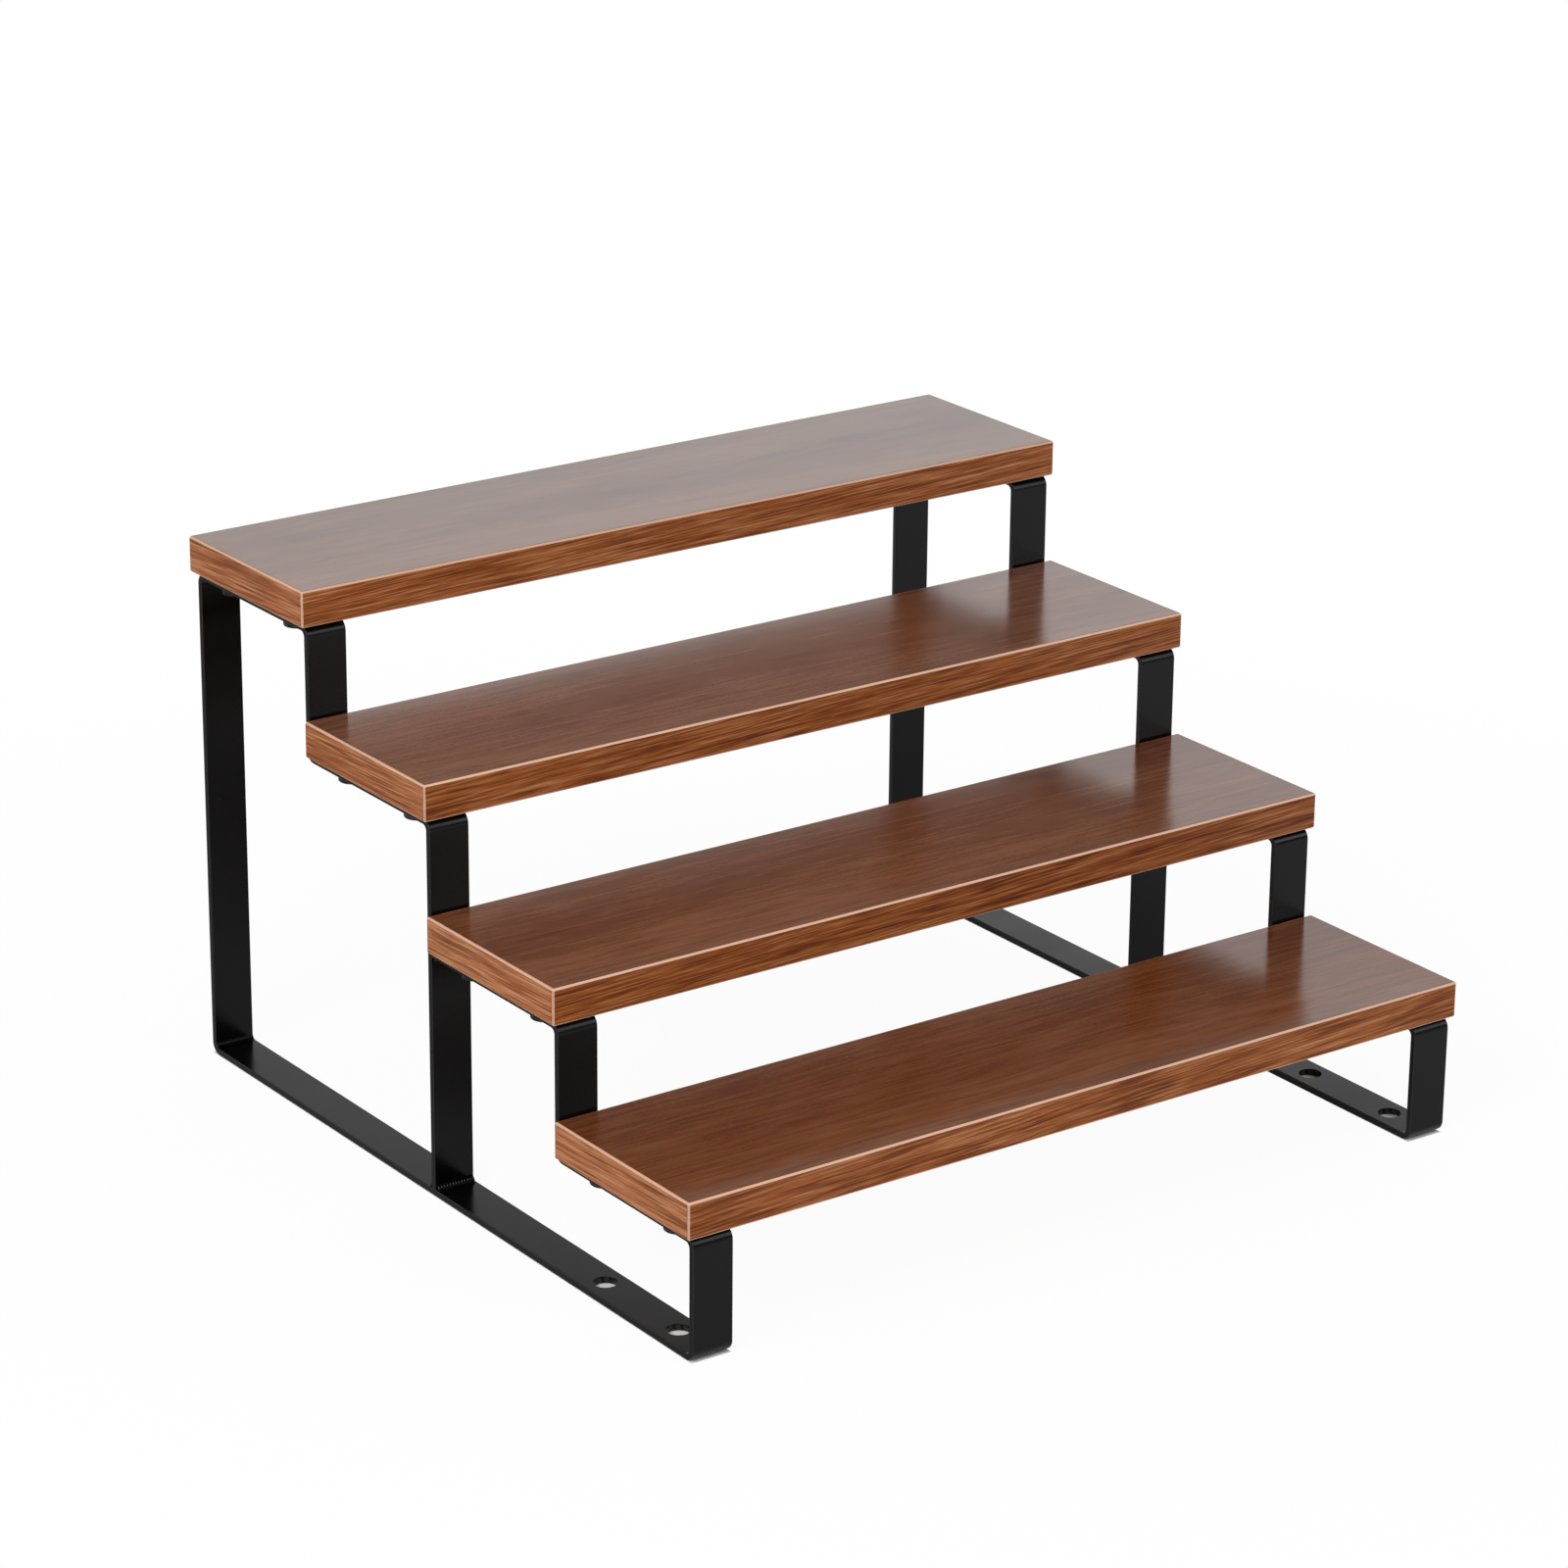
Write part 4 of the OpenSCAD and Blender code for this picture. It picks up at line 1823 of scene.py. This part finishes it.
    @staticmethod
    def beside_rails(graph: Graph, place: Any) -> Socket:
        """The mask of the floor under the rails, which only their holes show.

        Args:
            graph: The floor's graph.
            place: The X, Y and Z of the floor's Object coordinates.

        Returns:
            0 under the rails and 1 beside them.
        """
        low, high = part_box("right_bar")
        across = graph.math("SUBTRACT", graph.math("ABSOLUTE", place["X"]), (low.x + high.x) / 2)
        past_side = graph.math("GREATER_THAN", graph.math("ABSOLUTE", across), (high.x - low.x) / 2)
        past_end = graph.math("GREATER_THAN", graph.math("ABSOLUTE", place["Y"]), high.y)
        return graph.math("MAXIMUM", past_side, past_end)

    def glow_share(self, graph: Graph, coordinates: Socket, place: Any, dim: Socket) -> Socket:
        """How much of the floor glows and takes no shade.

        Args:
            graph: The floor's graph.
            coordinates: The floor's Object coordinates.
            place: The X, Y and Z of them.
            dim: The mask of the dimmer floor on the left.

        Returns:
            The share, which differs for the floor itself and for its reflections.
        """
        distance = graph.add("ShaderNodeVectorMath", {0: coordinates}, operation="LENGTH").outputs["Value"]
        start, end = self.shade_reach
        seen_share = graph.remap(distance, start, end, self.seen_glow, 1.0)
        mirrored_share = graph.remap(distance, start, end, self.mirrored_glow, 1.0)
        seen = graph.math("MULTIPLY", self.seen(graph), seen_share)
        mirrored = graph.math("MULTIPLY", self.mirrored(graph), mirrored_share)
        share = graph.math("ADD", seen, graph.math("MAXIMUM", mirrored, dim))
        return graph.math("MULTIPLY", share, self.beside_rails(graph, place))

    def add_floor(self) -> None:
        """A pale floor that looks white and keeps the object's soft shadow.

        In reflections it is dimmer on the left of the object, where the paper ends.
        """
        half = self.floor_side / 2
        corners = [(-half, -half), (half, -half), (half, half), (-half, half)]
        mesh = new_mesh("floor", [(x, y, -self.floor_drop) for x, y in corners], (), [(0, 1, 2, 3)])
        material = bpy.data.materials.new("pale_floor")
        material.use_nodes = True
        graph = Graph(material.node_tree)
        shader = material.node_tree.nodes["Principled BSDF"]
        white = self.floor_white
        shader.inputs["Base Color"].default_value = (white, white, white, 1.0)
        shader.inputs["Roughness"].default_value = 1.0
        shader.inputs["Specular IOR Level"].default_value = 0.0
        coordinates = graph.add("ShaderNodeTexCoord").outputs["Object"]
        place = graph.parts(coordinates)
        on_left = graph.math("LESS_THAN", place["X"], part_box("left_bar")[0].x)
        dim = graph.math("MULTIPLY", self.mirrored(graph), on_left)
        strength = graph.remap(dim, 0.0, 1.0, 1.0, self.left_floor)
        glow = graph.out("ShaderNodeEmission", {"Color": WHITE, "Strength": strength})
        share = self.glow_share(graph, coordinates, place, dim)
        both = graph.out("ShaderNodeMixShader", {0: share, 1: shader.outputs[0], 2: glow})
        graph.feed(material.node_tree.nodes["Material Output"].inputs["Surface"], both)
        mesh.materials.append(material)
        new_object("floor", mesh)


def main() -> None:
    """Builds the stand's looks and its studio."""
    logging.basicConfig(level=logging.INFO, format="%(name)s: %(message)s")
    bpy.context.scene.view_settings.view_transform = "Standard"
    Studio().build()
    palette = Palette()
    trees = Trees()
    for number in TIERS:
        Tier(number, palette, trees).build()
    for side in Side:
        SideFrame(side, palette, trees).build()


if __name__ == "__main__":
    main()
